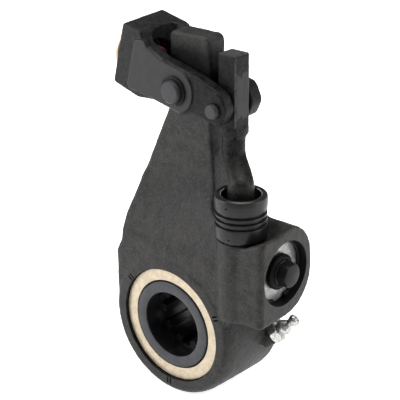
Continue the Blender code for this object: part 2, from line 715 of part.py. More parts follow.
def worm_thread(root):
    """One trapezoid ridge along a helix about the X axis, tapering out at both ends."""
    slope = math.tan(math.radians(20))
    half = TOOTH_SHARE * WORM_LEAD / 2
    tip = WORM_PITCH + TOOTH_ADDENDUM
    base = root - 0.6 * MM
    margin = half + TOOTH_DEDENDUM
    first = math.ceil((WORM_START + margin) / WORM_LEAD * 20) / 20
    last = math.floor((WORM_END - margin) / WORM_LEAD * 20) / 20
    steps = round((last - first) * 20)
    sections = []
    for index in range(steps + 1):
        turn = first + (last - first) * index / steps
        fade = min(1, 8 * index / steps, 8 * (steps - index) / steps)
        height = max(tip * fade + (root + 0.2 * MM) * (1 - fade), root + 0.2 * MM)
        angle = 2 * math.pi * turn - 3 * math.pi / 2
        centre = turn * WORM_LEAD
        foot = half + (WORM_PITCH - base) * slope
        crest = half - (height - WORM_PITCH) * slope
        section = []
        for along, radius in ((-foot, base), (-crest, height), (crest, height), (foot, base)):
            section.append((centre + along, radius * math.cos(angle), WORM_Z + radius * math.sin(angle)))
        sections.append(section)
    return loft("worm_ridge", sections)


def build_worm():
    """Shaft with its adjusting hex, the worm, its clutch and the bushing at the blind end."""
    axis = (1, 0, 0)
    origin = (0, 0, WORM_Z)
    shaft_start = WORM_START - WORM_BUSHING_LENGTH - 1 * MM
    shoulder = PLATE_BACK - 1.5 * MM
    hex_start = HEX_END - HEX_LENGTH
    profile = [
        (0, hex_start + 1 * MM),
        (HEAD_NECK - 0.8 * MM, hex_start + 1 * MM),
        (HEAD_NECK, hex_start),
        (HEAD_NECK, shoulder),
        (SHAFT_RADIUS, shoulder),
        (SHAFT_RADIUS, shaft_start + 0.6 * MM),
        (SHAFT_RADIUS - 0.6 * MM, shaft_start),
        (0, shaft_start),
    ]
    shaft = turned("worm_shaft", profile, origin, axis, BLACK_OXIDE, closed=False)
    corner = HEX_FLATS / math.sqrt(3)
    head = rod("hex_head", corner, (hex_start - 1 * MM, 0, WORM_Z), (HEX_END, 0, WORM_Z), sides=6)
    tip = rod(
        "hex_chamfer", corner + 3 * MM, (HEX_END - 4 * MM, 0, WORM_Z), (HEX_END, 0, WORM_Z),
        end_radius=HEX_FLATS / 2 - 0.2 * MM, sides=32,
    )
    back = rod(
        "hex_keep", corner + 3 * MM, (hex_start - 2 * MM, 0, WORM_Z), (HEX_END - 3.9 * MM, 0, WORM_Z), sides=32,
    )
    join(tip, back)
    boolean(head, tip, "INTERSECT")
    join(shaft, head)

    root = WORM_PITCH - TOOTH_DEDENDUM
    neck_end = WORM_END + CLUTCH_NECK_LENGTH
    sleeve_profile = [
        (SHAFT_BORE, neck_end),
        (CLUTCH_RADIUS, neck_end),
        (CLUTCH_RADIUS, WORM_END),
        (root, WORM_END),
        (root, WORM_START),
        (SHAFT_BORE, WORM_START),
    ]
    sleeve = turned("worm_sleeve", sleeve_profile, origin, axis, WORM_STEEL)
    join(sleeve, worm_thread(root))

    hub_start = neck_end + GAP
    hub_end = hub_start + CLUTCH_HUB_LENGTH
    clutch_profile = [
        (SHAFT_BORE, hub_end),
        (CLUTCH_RADIUS - 1.5 * MM, hub_end),
        (CLUTCH_RADIUS, hub_end - 1.5 * MM),
        (CLUTCH_RADIUS, hub_start),
        (SHAFT_BORE, hub_start),
    ]
    turned("clutch_hub", clutch_profile, origin, axis, STEEL)

    coil_radius = CLUTCH_RADIUS + SPRING_WIRE + GAP
    coil_start = WORM_END + SPRING_WIRE + GAP
    coil_end = hub_end - SPRING_WIRE
    steps = 14 * SPRING_TURNS
    coil = []
    for index in range(steps + 1):
        angle = 2 * math.pi * SPRING_TURNS * index / steps
        along = coil_start + (coil_end - coil_start) * index / steps
        coil.append((along, coil_radius * math.cos(angle), WORM_Z + coil_radius * math.sin(angle)))
    wire("clutch_spring", coil, SPRING_WIRE, STEEL, sides=1)

    bushing_start = WORM_START - WORM_BUSHING_LENGTH
    tube_ring(
        "worm_bushing", SHAFT_BORE, SHAFT_BORE + WORM_BUSHING_WALL, bushing_start, WORM_START - GAP,
        origin, axis, BRONZE, 32,
    )


def build_worm_cover():
    """Thrust bearing, end plate, retaining clip and seal that close the worm's bore."""
    axis = (1, 0, 0)
    origin = (0, 0, WORM_Z)
    neck_bore = HEAD_NECK + GAP
    register_start = PLATE_BACK - 1.2 * MM
    shoulder = PLATE_BACK - 1.5 * MM
    bearing_end = shoulder - GAP
    tube_ring(
        "thrust_bearing", SHAFT_BORE, WORM_BORE - GAP, bearing_end - BEARING_THICKNESS, bearing_end,
        origin, axis, BRONZE,
    )
    plate_profile = [
        (neck_bore, PLATE_FACE),
        (PLATE_RADIUS, PLATE_FACE),
        (PLATE_RADIUS, PLATE_BACK),
        (WORM_BORE - GAP, PLATE_BACK),
        (WORM_BORE - GAP, register_start),
        (neck_bore, register_start),
    ]
    turned("end_plate", plate_profile, origin, axis, STEEL, 64)

    clip_start = PLATE_FACE + GAP
    clip_end = clip_start + CLIP_THICKNESS
    clip = tube_ring(
        "retaining_clip", RECESS_RADIUS - CLIP_REACH, RECESS_RADIUS + CLIP_GROOVE - GAP, clip_start, clip_end,
        origin, axis, STEEL, 64,
    )
    opening = box(
        "clip_opening", (clip_start - 1 * MM, -5 * MM, WORM_Z - RECESS_RADIUS - 4 * MM),
        (clip_end + 1 * MM, 5 * MM, WORM_Z - RECESS_RADIUS + 6 * MM),
    )
    cut(clip, opening)

    seal_start = PLATE_FACE + GAP
    seal_end = seal_start + SEAL_HEIGHT
    seal_profile = [
        (neck_bore, seal_end),
        (SEAL_RADIUS - 1.8 * MM, seal_end),
        (SEAL_RADIUS, seal_end - 1.4 * MM),
        (SEAL_RADIUS, seal_start),
        (neck_bore, seal_start),
    ]
    turned("worm_seal", seal_profile, origin, axis, RUBBER)


def build_pinion():
    """Pinion on the worm's shaft, with a tooth pointing straight at the rack."""
    start = WORM_END + CLUTCH_NECK_LENGTH + 2 * GAP + CLUTCH_HUB_LENGTH
    end = PLATE_BACK - 1.5 * MM - 2 * GAP - BEARING_THICKNESS
    root = PINION_PITCH - 1.25 * PINION_MODULE
    tip = PINION_PITCH + PINION_MODULE
    ring = tooth_ring(PINION_TEETH, root, tip, PINION_PITCH, 0.42)
    outline = [(-radius * math.cos(angle), WORM_Z + radius * math.sin(angle)) for angle, radius in ring]
    pinion = plate("pinion", outline, start, end, "YZ", WORM_STEEL)
    bore = rod("pinion_bore", SHAFT_BORE, (start - 1 * MM, 0, WORM_Z), (end + 1 * MM, 0, WORM_Z), sides=32)
    cut(pinion, bore)


def build_rack():
    """Toothed plunger under the link, with the socket for the link's ball."""
    low = WORM_Z - RACK_BOTTOM
    flat_top = WORM_Z + RACK_TOOTH_TOP
    pitch_line = -PINION_PITCH
    profile = [
        (0, RACK_TOP),
        (RACK_RADIUS - 0.5 * MM, RACK_TOP),
        (RACK_RADIUS, RACK_TOP - 0.5 * MM),
        (RACK_RADIUS, low + 1 * MM),
        (RACK_RADIUS - 1 * MM, low),
        (0, low),
    ]
    rack = turned("rack", profile, (RACK_X, RACK_Y, 0), (0, 0, 1), WORM_STEEL, closed=False)

    step = math.pi * PINION_MODULE
    slope = math.tan(math.radians(20))
    tip_line = pitch_line + PINION_MODULE
    root_line = pitch_line - 1.25 * PINION_MODULE
    tooth_half = 0.42 * step / 2
    back = RACK_Y + RACK_RADIUS + 2 * MM
    first = math.floor((low - WORM_Z) / step) - 1
    count = math.floor(RACK_TOOTH_TOP / step)
    outline = [(back, WORM_Z + (first + 0.5) * step)]
    for index in range(first, count):
        centre = WORM_Z + (index + 0.5) * step
        at_root = tooth_half + (pitch_line - root_line) * slope
        at_tip = tooth_half - (tip_line - pitch_line) * slope
        outline += [
            (root_line, centre - at_root),
            (tip_line, centre - at_tip),
            (tip_line, centre + at_tip),
            (root_line, centre + at_root),
        ]
    outline += [(root_line, flat_top), (back, flat_top)]
    outline[0] = (back, outline[1][1])
    reach = RACK_RADIUS + 1 * MM
    teeth = plate("rack_teeth_cut", outline, RACK_X - reach, RACK_X + reach, "YZ")
    mouth = (RACK_X, RACK_Y, RACK_TOP + 1 * MM)
    socket = rod("ball_socket", SOCKET_RADIUS, (RACK_X, RACK_Y, SOCKET_FLOOR), mouth, sides=32)
    cut(rack, teeth, socket)
    tube_ring(
        "link_retainer", BALL_NECK + BALL_GAP, SOCKET_RADIUS - 0.15 * MM, RETAINER_BOTTOM, RACK_TOP,
        (RACK_X, RACK_Y, 0), (0, 0, 1), STEEL, 32,
    )
    plug_low = WORM_Z - LOBE_BOTTOM
    rod(
        "rack_plug", PLUG_RADIUS, (RACK_X, RACK_Y, plug_low), (RACK_X, RACK_Y, plug_low + PLUG_THICKNESS), STEEL,
    )
    tube_ring(
        "rod_guide", RACK_BORE, GUIDE_RADIUS, BOSS_TOP_Z - GUIDE_DEPTH + GAP, GUIDE_TOP, (RACK_X, RACK_Y, 0),
        (0, 0, 1), STEEL,
    )


def build_boot():
    """Rubber boot: a wide base band, two thin ribs between three grooves, and a wide lip."""
    groove = BOOT_RADIUS - BOOT_GROOVE
    inner = BOOT_RADIUS - BOOT_WALL
    grip = GUIDE_RADIUS + GAP
    top = BOOT_BASE + BOOT_HEIGHT
    middle = BOOT_BASE + 0.5 * BOOT_HEIGHT
    bump = BOOT_PITCH * 0.24
    profile = [
        (inner + 0.6 * MM, top - 0.5 * MM),
        (BOOT_RADIUS - 1.7 * MM, top),
        (BOOT_RADIUS - 0.4 * MM, top - 1.2 * MM),
        (BOOT_RADIUS + 0.3 * MM, top - 3.2 * MM),
        (BOOT_RADIUS + 0.3 * MM, top - 5.5 * MM),
    ]
    for index in (1, 0, -1):
        centre = middle + index * BOOT_PITCH
        profile += [
            (BOOT_RADIUS - 0.1 * MM, centre + 0.7 * MM + bump / 2),
            (groove, centre + bump / 2),
            (groove, centre - bump / 2),
            (BOOT_RADIUS - 0.1 * MM, centre - 0.7 * MM - bump / 2),
        ]
    profile += [
        (BOOT_RADIUS, BOOT_BASE + 2.4 * MM),
        (BOOT_RADIUS - 0.5 * MM, BOOT_BASE + 1 * MM),
        (BOOT_RADIUS - 1.6 * MM, BOOT_BASE),
        (grip, BOOT_BASE),
        (grip, GUIDE_TOP + 0.8 * MM),
        (inner, GUIDE_TOP + 1.6 * MM),
    ]
    turned("boot", profile, (RACK_X, RACK_Y, 0), (0, 0, 1), RUBBER, 36)


def build_clevis():
    """Clevis with its two ears, raised pads, threaded end, pins and their keepers."""
    place = CLEVIS_FRAME
    ear_end = PIN_SPACING + EAR_END
    corners = [
        (-CLEVIS_BACK + 1.5 * MM, CLEVIS_TOP, 2 * MM),
        (-CLEVIS_SLOT_END + 1 * MM, CLEVIS_TOP, 4 * MM),
        (-CLEVIS_SLOT_END / 2, EAR_TOP, 10 * MM),
        (PAD_RADIUS, EAR_TOP - 1.4 * MM, 20 * MM),
        (PIN_SPACING + 3 * MM, EAR_TOP - 4.4 * MM, 6 * MM),
        (ear_end, 3 * MM, 6 * MM),
        (ear_end - 2 * MM, -EAR_BOTTOM, 5 * MM),
        (PAD_RADIUS, -EAR_BOTTOM, 4 * MM),
        (PAD_RADIUS / 2, -PAD_RADIUS + 0.6 * MM, 6 * MM),
        (-PAD_RADIUS, -PAD_RADIUS + 1.4 * MM, 10 * MM),
        (-2 * PAD_RADIUS, -CLEVIS_BOTTOM, 10 * MM),
        (-CLEVIS_BACK, -CLEVIS_BOTTOM, 2 * MM),
    ]
    clevis = plate("clevis", rounded(corners), -CLEVIS_NEAR, CLEVIS_FAR, "XZ", BLACK_OXIDE, place)
    pad_left = -CLEVIS_BACK + 10 * MM
    pad_corners = [
        (pad_left, CLEVIS_TOP - 4.5 * MM, 3 * MM),
        (pad_left + 9 * MM, CLEVIS_TOP - 4 * MM, 3 * MM),
        (-PAD_RADIUS, PAD_RADIUS, 8 * MM),
        (PAD_RADIUS, PAD_RADIUS, PAD_RADIUS - 0.5 * MM),
        (PAD_RADIUS, -PAD_RADIUS + 2 * MM, PAD_RADIUS - 3 * MM),
        (-PAD_RADIUS, -PAD_RADIUS + 2 * MM, 8 * MM),
        (pad_left, -CLEVIS_BOTTOM + 1 * MM, 3 * MM),
    ]
    faces = {"near": (-PAD_NEAR, -CLEVIS_NEAR + 1 * MM), "far": (CLEVIS_FAR - 1 * MM, PAD_FAR)}
    for label, (low, high) in faces.items():
        join(clevis, plate(f"clevis_pad_{label}", rounded(pad_corners), low, high, "XZ", None, place))
    slot = box(
        "clevis_slot", (-CLEVIS_SLOT_END, -CLEVIS_SLOT / 2, -CLEVIS_BACK),
        (CLEVIS_BACK, CLEVIS_SLOT / 2, CLEVIS_BACK), None, place,
    )
    reach = 4 * CLEVIS_NEAR

    def across(name, radius, along, sides):
        start = place @ Vector((along, -reach, 0))
        end = place @ Vector((along, reach, 0))
        return rod(name, radius, start, end, sides=sides)

    collar_hole = rod(
        "collar_hole", COLLAR_RADIUS + GAP, place @ Vector((-CLEVIS_BACK - 5 * MM, 0, COLLAR_RISE)),
        place @ Vector((-CLEVIS_SLOT_END + 5 * MM, 0, COLLAR_RISE)), sides=32,
    )
    cut(
        clevis, slot, across("large_pin_hole", BIG_PIN_BORE, 0, 32),
        across("small_pin_hole", SMALL_PIN + GAP, PIN_SPACING, 24), collar_hole,
    )
    build_large_pin()
    build_small_pin()
    build_collar()


def build_large_pin():
    """Large pin with a head at the back and a spring clip at the front."""
    near = PAD_NEAR + LARGE_PIN_PROUD
    head_start = PAD_FAR + GAP
    head_end = head_start + 3 * MM
    head_radius = LARGE_PIN + 2.2 * MM
    groove_low = PAD_NEAR + GAP / 2
    groove_high = groove_low + PIN_CLIP_THICKNESS + GAP
    groove_radius = LARGE_PIN - 0.6 * MM
    profile = [
        (0, near),
        (LARGE_PIN - 0.9 * MM, near),
        (LARGE_PIN, near - 0.9 * MM),
        (LARGE_PIN, groove_high),
        (groove_radius, groove_high),
        (groove_radius, groove_low),
        (LARGE_PIN, groove_low),
        (LARGE_PIN, -head_start),
        (head_radius, -head_start),
        (head_radius, -head_end + 0.8 * MM),
        (head_radius - 0.8 * MM, -head_end),
        (0, -head_end),
    ]
    turned("clevis_pin", profile, LARGE_PIN_PLACE, (0, -1, 0), STEEL, 32, closed=False)
    clip_low = groove_low + GAP / 2
    clip = tube_ring(
        "clevis_pin_clip", groove_radius + 0.15 * MM, LARGE_PIN + 1.9 * MM, clip_low,
        clip_low + PIN_CLIP_THICKNESS,
        LARGE_PIN_PLACE, (0, -1, 0), STEEL, 32,
    )
    clip_reach = LARGE_PIN + 3 * MM
    gap_cut = box(
        "pin_clip_opening", (-2 * MM, -clip_low - PIN_CLIP_THICKNESS - 1 * MM, -clip_reach),
        (2 * MM, -clip_low + 1 * MM, 0), None, Matrix.Translation(LARGE_PIN_PLACE),
    )
    cut(clip, gap_cut)
    tube_ring(
        "arm_bushing", BIG_PIN_BORE, BIG_PIN_BORE + EYE_BUSHING_WALL, -ARM_HALF, ARM_HALF, LARGE_PIN_PLACE,
        (0, -1, 0), BRONZE, 32,
    )


def build_small_pin():
    """Small pin with its head in front, and a washer and split pin at the back."""
    place = CLEVIS_FRAME @ Vector((PIN_SPACING, 0, 0))
    head_base = CLEVIS_NEAR + GAP
    head_face = head_base + SMALL_HEAD_HEIGHT
    washer_low = CLEVIS_FAR + GAP
    washer_high = washer_low + 1 * MM
    cotter_y = washer_high + GAP + COTTER_WIRE + 0.2 * MM
    tail = cotter_y + 3 * MM
    profile = [
        (0, head_face),
        (SMALL_HEAD - 0.6 * MM, head_face),
        (SMALL_HEAD, head_face - 0.6 * MM),
        (SMALL_HEAD, head_base),
        (SMALL_PIN, head_base),
        (SMALL_PIN, -tail + 0.8 * MM),
        (SMALL_PIN - 0.8 * MM, -tail),
        (0, -tail),
    ]
    pin = turned("small_pin", profile, place, (0, -1, 0), STEEL, 32, closed=False)
    reach = SMALL_PIN + 4 * MM
    centre = place + Vector((0, cotter_y, 0))
    hole = rod(
        "cotter_hole", COTTER_WIRE + 0.2 * MM, centre - Vector((0, 0, reach)), centre + Vector((0, 0, reach)),
        sides=16,
    )
    cut(pin, hole)
    tube_ring(
        "small_pin_washer", SMALL_PIN + GAP, SMALL_PIN + 2.6 * MM, -washer_high, -washer_low, place,
        (0, -1, 0),
        STEEL, 32,
    )
    eye = 1.9 * COTTER_WIRE + 0.6 * MM
    top = SMALL_PIN + eye + 1.2 * COTTER_WIRE
    points = []
    for index in range(10):
        turn = math.radians(-60 + 300 * index / 9 + 10)
        points.append(centre + Vector((eye * math.cos(turn), 0, top + eye * math.sin(turn))))
    points.append(centre + Vector((0, 0, SMALL_PIN)))
    points.append(centre - Vector((0, 0, SMALL_PIN + 1.2 * MM)))
    points.append(centre - Vector((-0.8 * MM, -0.6 * MM, SMALL_PIN + 2.4 * MM)))
    points.append(centre - Vector((-2.6 * MM, -1.6 * MM, SMALL_PIN + 3.6 * MM)))
    wire("small_pin_cotter", points, COTTER_WIRE, BRIGHT_ZINC, sides=1)
    tube_ring(
        "link_bushing", SMALL_PIN + GAP, SMALL_PIN + GAP + LINK_BUSHING_WALL, -LINK_THICKNESS / 2,
        LINK_THICKNESS / 2, place, (0, -1, 0), BRONZE, 24,
    )


def build_collar():
    """Threaded collar for the push rod, with the plug that keeps its thread clean."""
    outward = CLEVIS_FRAME.to_3x3() @ Vector((-1, 0, 0))
    origin = CLEVIS_FRAME @ Vector((0, 0, COLLAR_RISE))
    inner_end = CLEVIS_SLOT_END + GAP
    head_base = CLEVIS_BACK + GAP
    head_end = head_base + COLLAR_HEAD_HEIGHT
    profile = [
        (COLLAR_BORE + 0.8 * MM, head_end),
        (COLLAR_HEAD - 1.2 * MM, head_end),
        (COLLAR_HEAD, head_end - 1.2 * MM),
        (COLLAR_HEAD, head_base),
        (COLLAR_RADIUS, head_base),
        (COLLAR_RADIUS, inner_end),
        (COLLAR_BORE + 0.6 * MM, inner_end),
        (COLLAR_BORE, inner_end + 0.6 * MM),
        (COLLAR_BORE, head_end - 0.8 * MM),
    ]
    turned("clevis_collar", profile, origin, outward, PALE_GOLD)
    plug_radius = COLLAR_BORE - GAP
    plug_rim = COLLAR_BORE + 2.2 * MM
    plug_end = CLEVIS_SLOT_END - 0.8 * MM
    plug_profile = [
        (0, head_end + 1.5 * MM),
        (plug_rim, head_end + 1.5 * MM),
        (plug_rim, head_end + GAP),
        (plug_radius, head_end + GAP),
        (plug_radius, plug_end + 0.8 * MM),
        (plug_radius - 0.8 * MM, plug_end),
        (0, plug_end),
    ]
    turned("collar_plug", plug_profile, origin, outward, RED_PLASTIC, closed=False)


def build_link():
    """Link: an upright bar with the small pin's eye, an offset neck, the rod and its ball."""
    half = LINK_THICKNESS / 2
    right = LINK_LEFT + LINK_WIDTH
    link = box("link", (LINK_LEFT, -half, LINK_BOTTOM), (right, half, LINK_TOP), BLACK_OXIDE)
    bevel = link.modifiers.new("edge", "BEVEL")
    bevel.width = 1.2 * MM
    bevel.segments = 2
    middle = Vector((LINK_LEFT + LINK_WIDTH / 2, 0, 0))
    shift = Vector((RACK_X, RACK_Y, 0)) - middle
    forward = shift.normalized()
    sideways = Vector((-forward.y, forward.x, 0))
    levels = [(LINK_BOTTOM + 3 * MM, NECK_RADIUS, 0, 0), (LINK_BOTTOM - 1.5 * MM, NECK_RADIUS, 0, 0)]
    bend_steps = 8
    for index in range(bend_steps + 1):
        share = index / bend_steps
        ease = share * share * (3 - 2 * share)
        slope = 6 * share * (1 - share) * shift.length / BEND_HEIGHT
        radius = NECK_RADIUS + (ROD_RADIUS - NECK_RADIUS) * ease
        levels.append((BEND_TOP - BEND_HEIGHT * share, radius, ease, slope))
    levels.append((ROD_BOTTOM, ROD_RADIUS, 1, 0))
    sections = []
    sides = 20
    for height, radius, ease, slope in levels:
        stretch = math.sqrt(1 + 0.35 * slope * slope)
        section = []
        for index in range(sides):
            turn = 2 * math.pi * (index + 0.5) / sides
            spot = middle + shift * ease + Vector((0, 0, height))
            spot += forward * radius * stretch * math.cos(turn) + sideways * radius * math.sin(turn)
            section.append(spot)
        sections.append(section)
    neck = loft("link_neck", sections)
    stem = rod(
        "link_stem", BALL_NECK, (RACK_X, RACK_Y, BALL_Z), (RACK_X, RACK_Y, ROD_BOTTOM + 2 * MM), sides=16,
        phase=0.37,
    )
    tip = ball("link_ball", BALL_RADIUS, (RACK_X, RACK_Y, BALL_Z))
    eye = rod(
        "link_eye", LINK_EYE, SMALL_PIN_PLACE - Vector((0, half, 0)), SMALL_PIN_PLACE + Vector((0, half, 0)),
        sides=32,
    )
    join(link, eye, neck, stem, tip)
    hole_radius = SMALL_PIN + 2 * GAP + LINK_BUSHING_WALL
    hole = rod(
        "link_eye_hole", hole_radius, SMALL_PIN_PLACE - Vector((0, 2 * half, 0)),
        SMALL_PIN_PLACE + Vector((0, 2 * half, 0)), sides=24,
    )
    cut(link, hole)


def build_grease_fitting():
    """Grease fitting with its hexagon, its nose and the check ball inside."""
    base = FITTING_PLACE
    axis = FITTING_AXIS
    nose = FITTING_LENGTH
    waist = FITTING_HEAD - 1.0 * MM
    profile = [
        (FITTING_BALL + 0.4 * MM, nose),
        (FITTING_HEAD - 0.5 * MM, nose),
        (FITTING_HEAD, nose - 1.0 * MM),
        (FITTING_HEAD, nose - 2.4 * MM),
        (waist, nose - 4.4 * MM),
        (waist, nose - 5.4 * MM),
        (FITTING_HEAD + 0.5 * MM, nose - 6.8 * MM),
        (FITTING_HEAD + 1.0 * MM, nose - 9.0 * MM),
        (FITTING_HEAD + 0.6 * MM, FITTING_HEX_HEIGHT + 0.8 * MM),
        (FITTING_HEAD + 0.6 * MM, GAP + 1 * MM),
        (FITTING_THREAD, GAP + 1 * MM),
        (FITTING_THREAD, -FITTING_THREAD_LENGTH),
        (FITTING_BALL - 0.3 * MM, -FITTING_THREAD_LENGTH),
        (FITTING_BALL - 0.3 * MM, nose - 4.4 * MM),
        (FITTING_BALL + 0.4 * MM, nose - 3.6 * MM),
    ]
    fitting = turned("grease_fitting", profile, base, axis, BRIGHT_ZINC, 24)
    hexagon = rod(
        "fitting_hex", FITTING_HEX_CORNER, base + axis * GAP, base + axis * (GAP + FITTING_HEX_HEIGHT),
        sides=6,
    )
    way = rod(
        "fitting_way", FITTING_BALL + 0.5 * MM, base - axis * FITTING_THREAD_LENGTH, base + axis * nose,
        sides=16,
    )
    cut(hexagon, way)
    join(fitting, hexagon)
    ball("grease_ball", FITTING_BALL, base + axis * (nose - 1.1 * MM), STEEL, 16)


build_housing()
build_rings()
build_worm_wheel()
build_worm()
build_worm_cover()
build_pinion()
build_rack()
build_boot()
build_clevis()
build_link()
build_grease_fitting()
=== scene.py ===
import math
from itertools import product

import bpy
import numpy as np
from mathutils import Matrix, Vector


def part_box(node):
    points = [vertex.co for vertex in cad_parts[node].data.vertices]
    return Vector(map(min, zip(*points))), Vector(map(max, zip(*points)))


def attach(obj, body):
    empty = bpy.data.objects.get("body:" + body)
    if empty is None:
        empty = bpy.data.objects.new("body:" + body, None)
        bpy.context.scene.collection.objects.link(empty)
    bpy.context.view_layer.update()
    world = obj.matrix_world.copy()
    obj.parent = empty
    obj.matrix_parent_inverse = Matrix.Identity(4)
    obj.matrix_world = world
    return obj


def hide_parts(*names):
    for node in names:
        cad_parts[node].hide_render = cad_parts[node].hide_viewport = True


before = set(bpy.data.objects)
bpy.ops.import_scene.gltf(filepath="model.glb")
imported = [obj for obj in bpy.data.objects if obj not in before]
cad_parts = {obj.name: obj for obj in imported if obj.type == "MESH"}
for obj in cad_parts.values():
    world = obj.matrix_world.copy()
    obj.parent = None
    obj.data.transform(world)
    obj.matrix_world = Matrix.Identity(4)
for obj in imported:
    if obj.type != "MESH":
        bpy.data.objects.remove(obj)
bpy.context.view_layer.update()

# All shape numbers below are in millimetres; buildPiece turns them into metres.
mm = 0.001
axisX = np.array([1.0, 0.0, 0.0])
axisY = np.array([0.0, 1.0, 0.0])
axisZ = np.array([0.0, 0.0, 1.0])


# Meshes


# A mesh object from vertices (millimetres) and faces of 3 or 4 corners.
# The signed volume, the sum of a.(b x c) / 6 over the triangles, tells if the faces look outward.
def buildPiece(name, verts, faceGroups, creaseDegrees=40):
    corners = np.concatenate([group.ravel() for group in faceGroups])
    sizes = np.concatenate([np.full(len(group), group.shape[1]) for group in faceGroups])
    volume = 0.0
    for group in faceGroups:
        for second in range(1, group.shape[1] - 1):
            a, b, c = verts[group[:, 0]], verts[group[:, second]], verts[group[:, second + 1]]
            volume += np.einsum("ij,ij->i", a, np.cross(b, c)).sum() / 6
    if volume < 0:
        faceGroups = [group[:, ::-1] for group in faceGroups]
        corners = np.concatenate([group.ravel() for group in faceGroups])
    mesh = bpy.data.meshes.new(name)
    mesh.vertices.add(len(verts))
    mesh.vertices.foreach_set("co", (verts * mm).astype(np.float32).ravel())
    mesh.loops.add(len(corners))
    mesh.loops.foreach_set("vertex_index", corners.astype(np.int32))
    mesh.polygons.add(len(sizes))
    starts = np.concatenate([[0], np.cumsum(sizes)[:-1]])
    mesh.polygons.foreach_set("loop_start", starts.astype(np.int32))
    mesh.update(calc_edges=True)
    mesh.validate()
    mesh.shade_smooth()
    mesh.set_sharp_from_angle(angle=math.radians(creaseDegrees))
    made = bpy.data.objects.new(name, mesh)
    bpy.context.scene.collection.objects.link(made)
    return made


# Gives the piece a finish if one is named, rides it on its body and hides the CAD pieces it stands for.
def dress(piece, surface, body, slotName, *nodes):
    if surface is not None:
        piece.data.materials.clear()
        piece.data.materials.append(finishes[surface])
    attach(piece, body)
    if nodes:
        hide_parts(*nodes)
    return piece


# Two unit vectors across an axis, so that (across, side, axis) is right-handed.
def crossAxes(axis):
    across = np.cross(axis, axisZ if abs(axis[2]) < 0.9 else axisX)
    across /= np.linalg.norm(across)
    return across, np.cross(axis, across)


# Equal turns round a circle, from 0 up to 2 pi.
def turnAngles(turns):
    return np.arange(turns) * 2 * math.pi / turns


# The smooth step from 0 to 1: 3t^2 - 2t^3.
def smoothStep(share):
    return share * share * (3 - 2 * share)


# Faces between neighbouring rings of points, each as here, beside, above beside, above.
def ringQuads(stations, turns, closed=False):
    rows = np.arange(stations if closed else stations - 1)[:, None] * turns
    above = (rows + turns) % (stations * turns)
    spin = np.arange(turns)
    after = (spin + 1) % turns
    return np.stack([rows + spin, rows + after, above + after, above + spin], axis=-1).reshape(-1, 4)


# Surface of revolution from rows of (radius, height); a radius may be one number or change round the axis:
# p(s, t) = origin + r(s, t) (cos t u + sin t v) + h(s) w, for rows s and turns t.
# Closed profiles wrap round in s; the others end on the axis with one point at each end.
def spinPiece(name, rows, turns, origin, axis, closed=False, creaseDegrees=40, start=None):
    stations = len(rows)
    radius = np.array([r * np.ones(turns) for r, _ in rows])
    height = np.array([h * np.ones(turns) for _, h in rows])
    across, side = crossAxes(axis)
    if start is not None:
        across = np.array(start, float)
        side = np.cross(axis, across)
    angle = turnAngles(turns)
    ring = np.cos(angle)[:, None] * across + np.sin(angle)[:, None] * side
    verts = np.asarray(origin, float) + radius[..., None] * ring + height[..., None] * np.asarray(axis, float)
    verts = verts.reshape(-1, 3)
    groups = [ringQuads(stations, turns, closed)]
    if not closed:
        low, high = len(verts), len(verts) + 1
        verts = np.vstack([verts, [origin + height[end].mean() * axis for end in (0, -1)]])
        spin = np.arange(turns)
        after = (spin + 1) % turns
        last = (stations - 1) * turns
        groups.append(np.stack([after, spin, np.full(turns, low)], axis=-1))
        groups.append(np.stack([spin + last, after + last, np.full(turns, high)], axis=-1))
    return buildPiece(name, verts, groups, creaseDegrees)


# A path through corners (u, v, radius), each corner turned into an arc of that radius.
# Arc: centre + (first sin((1 - t) a) + last sin(t a)) / sin a, with a the corner's turn and t from 0 to 1.
def roundedPath(corners, closed=True, pieces=6):
    count = len(corners)
    path = []
    for index, (u, v, radius) in enumerate(corners):
        here = np.array([u, v], float)
        if radius <= 0 or (not closed and index in (0, count - 1)):
            path.append(here)
            continue
        before = np.array(corners[index - 1][:2], float) - here
        after = np.array(corners[(index + 1) % count][:2], float) - here
        limit = 0.49 * min(np.linalg.norm(before), np.linalg.norm(after))
        before /= np.linalg.norm(before)
        after /= np.linalg.norm(after)
        opening = math.acos(np.clip(before @ after, -1, 1))
        if opening > math.radians(178):
            path.append(here)
            continue
        reach = min(radius / math.tan(opening / 2), limit)
        radius = reach * math.tan(opening / 2)
        middle = before + after
        centre = here + middle / np.linalg.norm(middle) * radius / math.sin(opening / 2)
        first = here + before * reach - centre
        last = here + after * reach - centre
        sweep = math.pi - opening
        for step in range(pieces + 1):
            share = step / pieces
            blend = first * math.sin((1 - share) * sweep) + last * math.sin(share * sweep)
            path.append(centre + blend / math.sin(sweep))
    return np.array(path)


# A turned piece: the rounded profile (radius, height) spun about the axis; open profiles begin and end on it.
def turnedPiece(name, corners, origin, axis, closed=False, turns=128, creaseDegrees=40, pieces=4):
    path = roundedPath(corners, closed, pieces)
    rows = path if closed else path[1:-1]
    return spinPiece(name, rows, turns, np.asarray(origin, float), axis, closed, creaseDegrees)


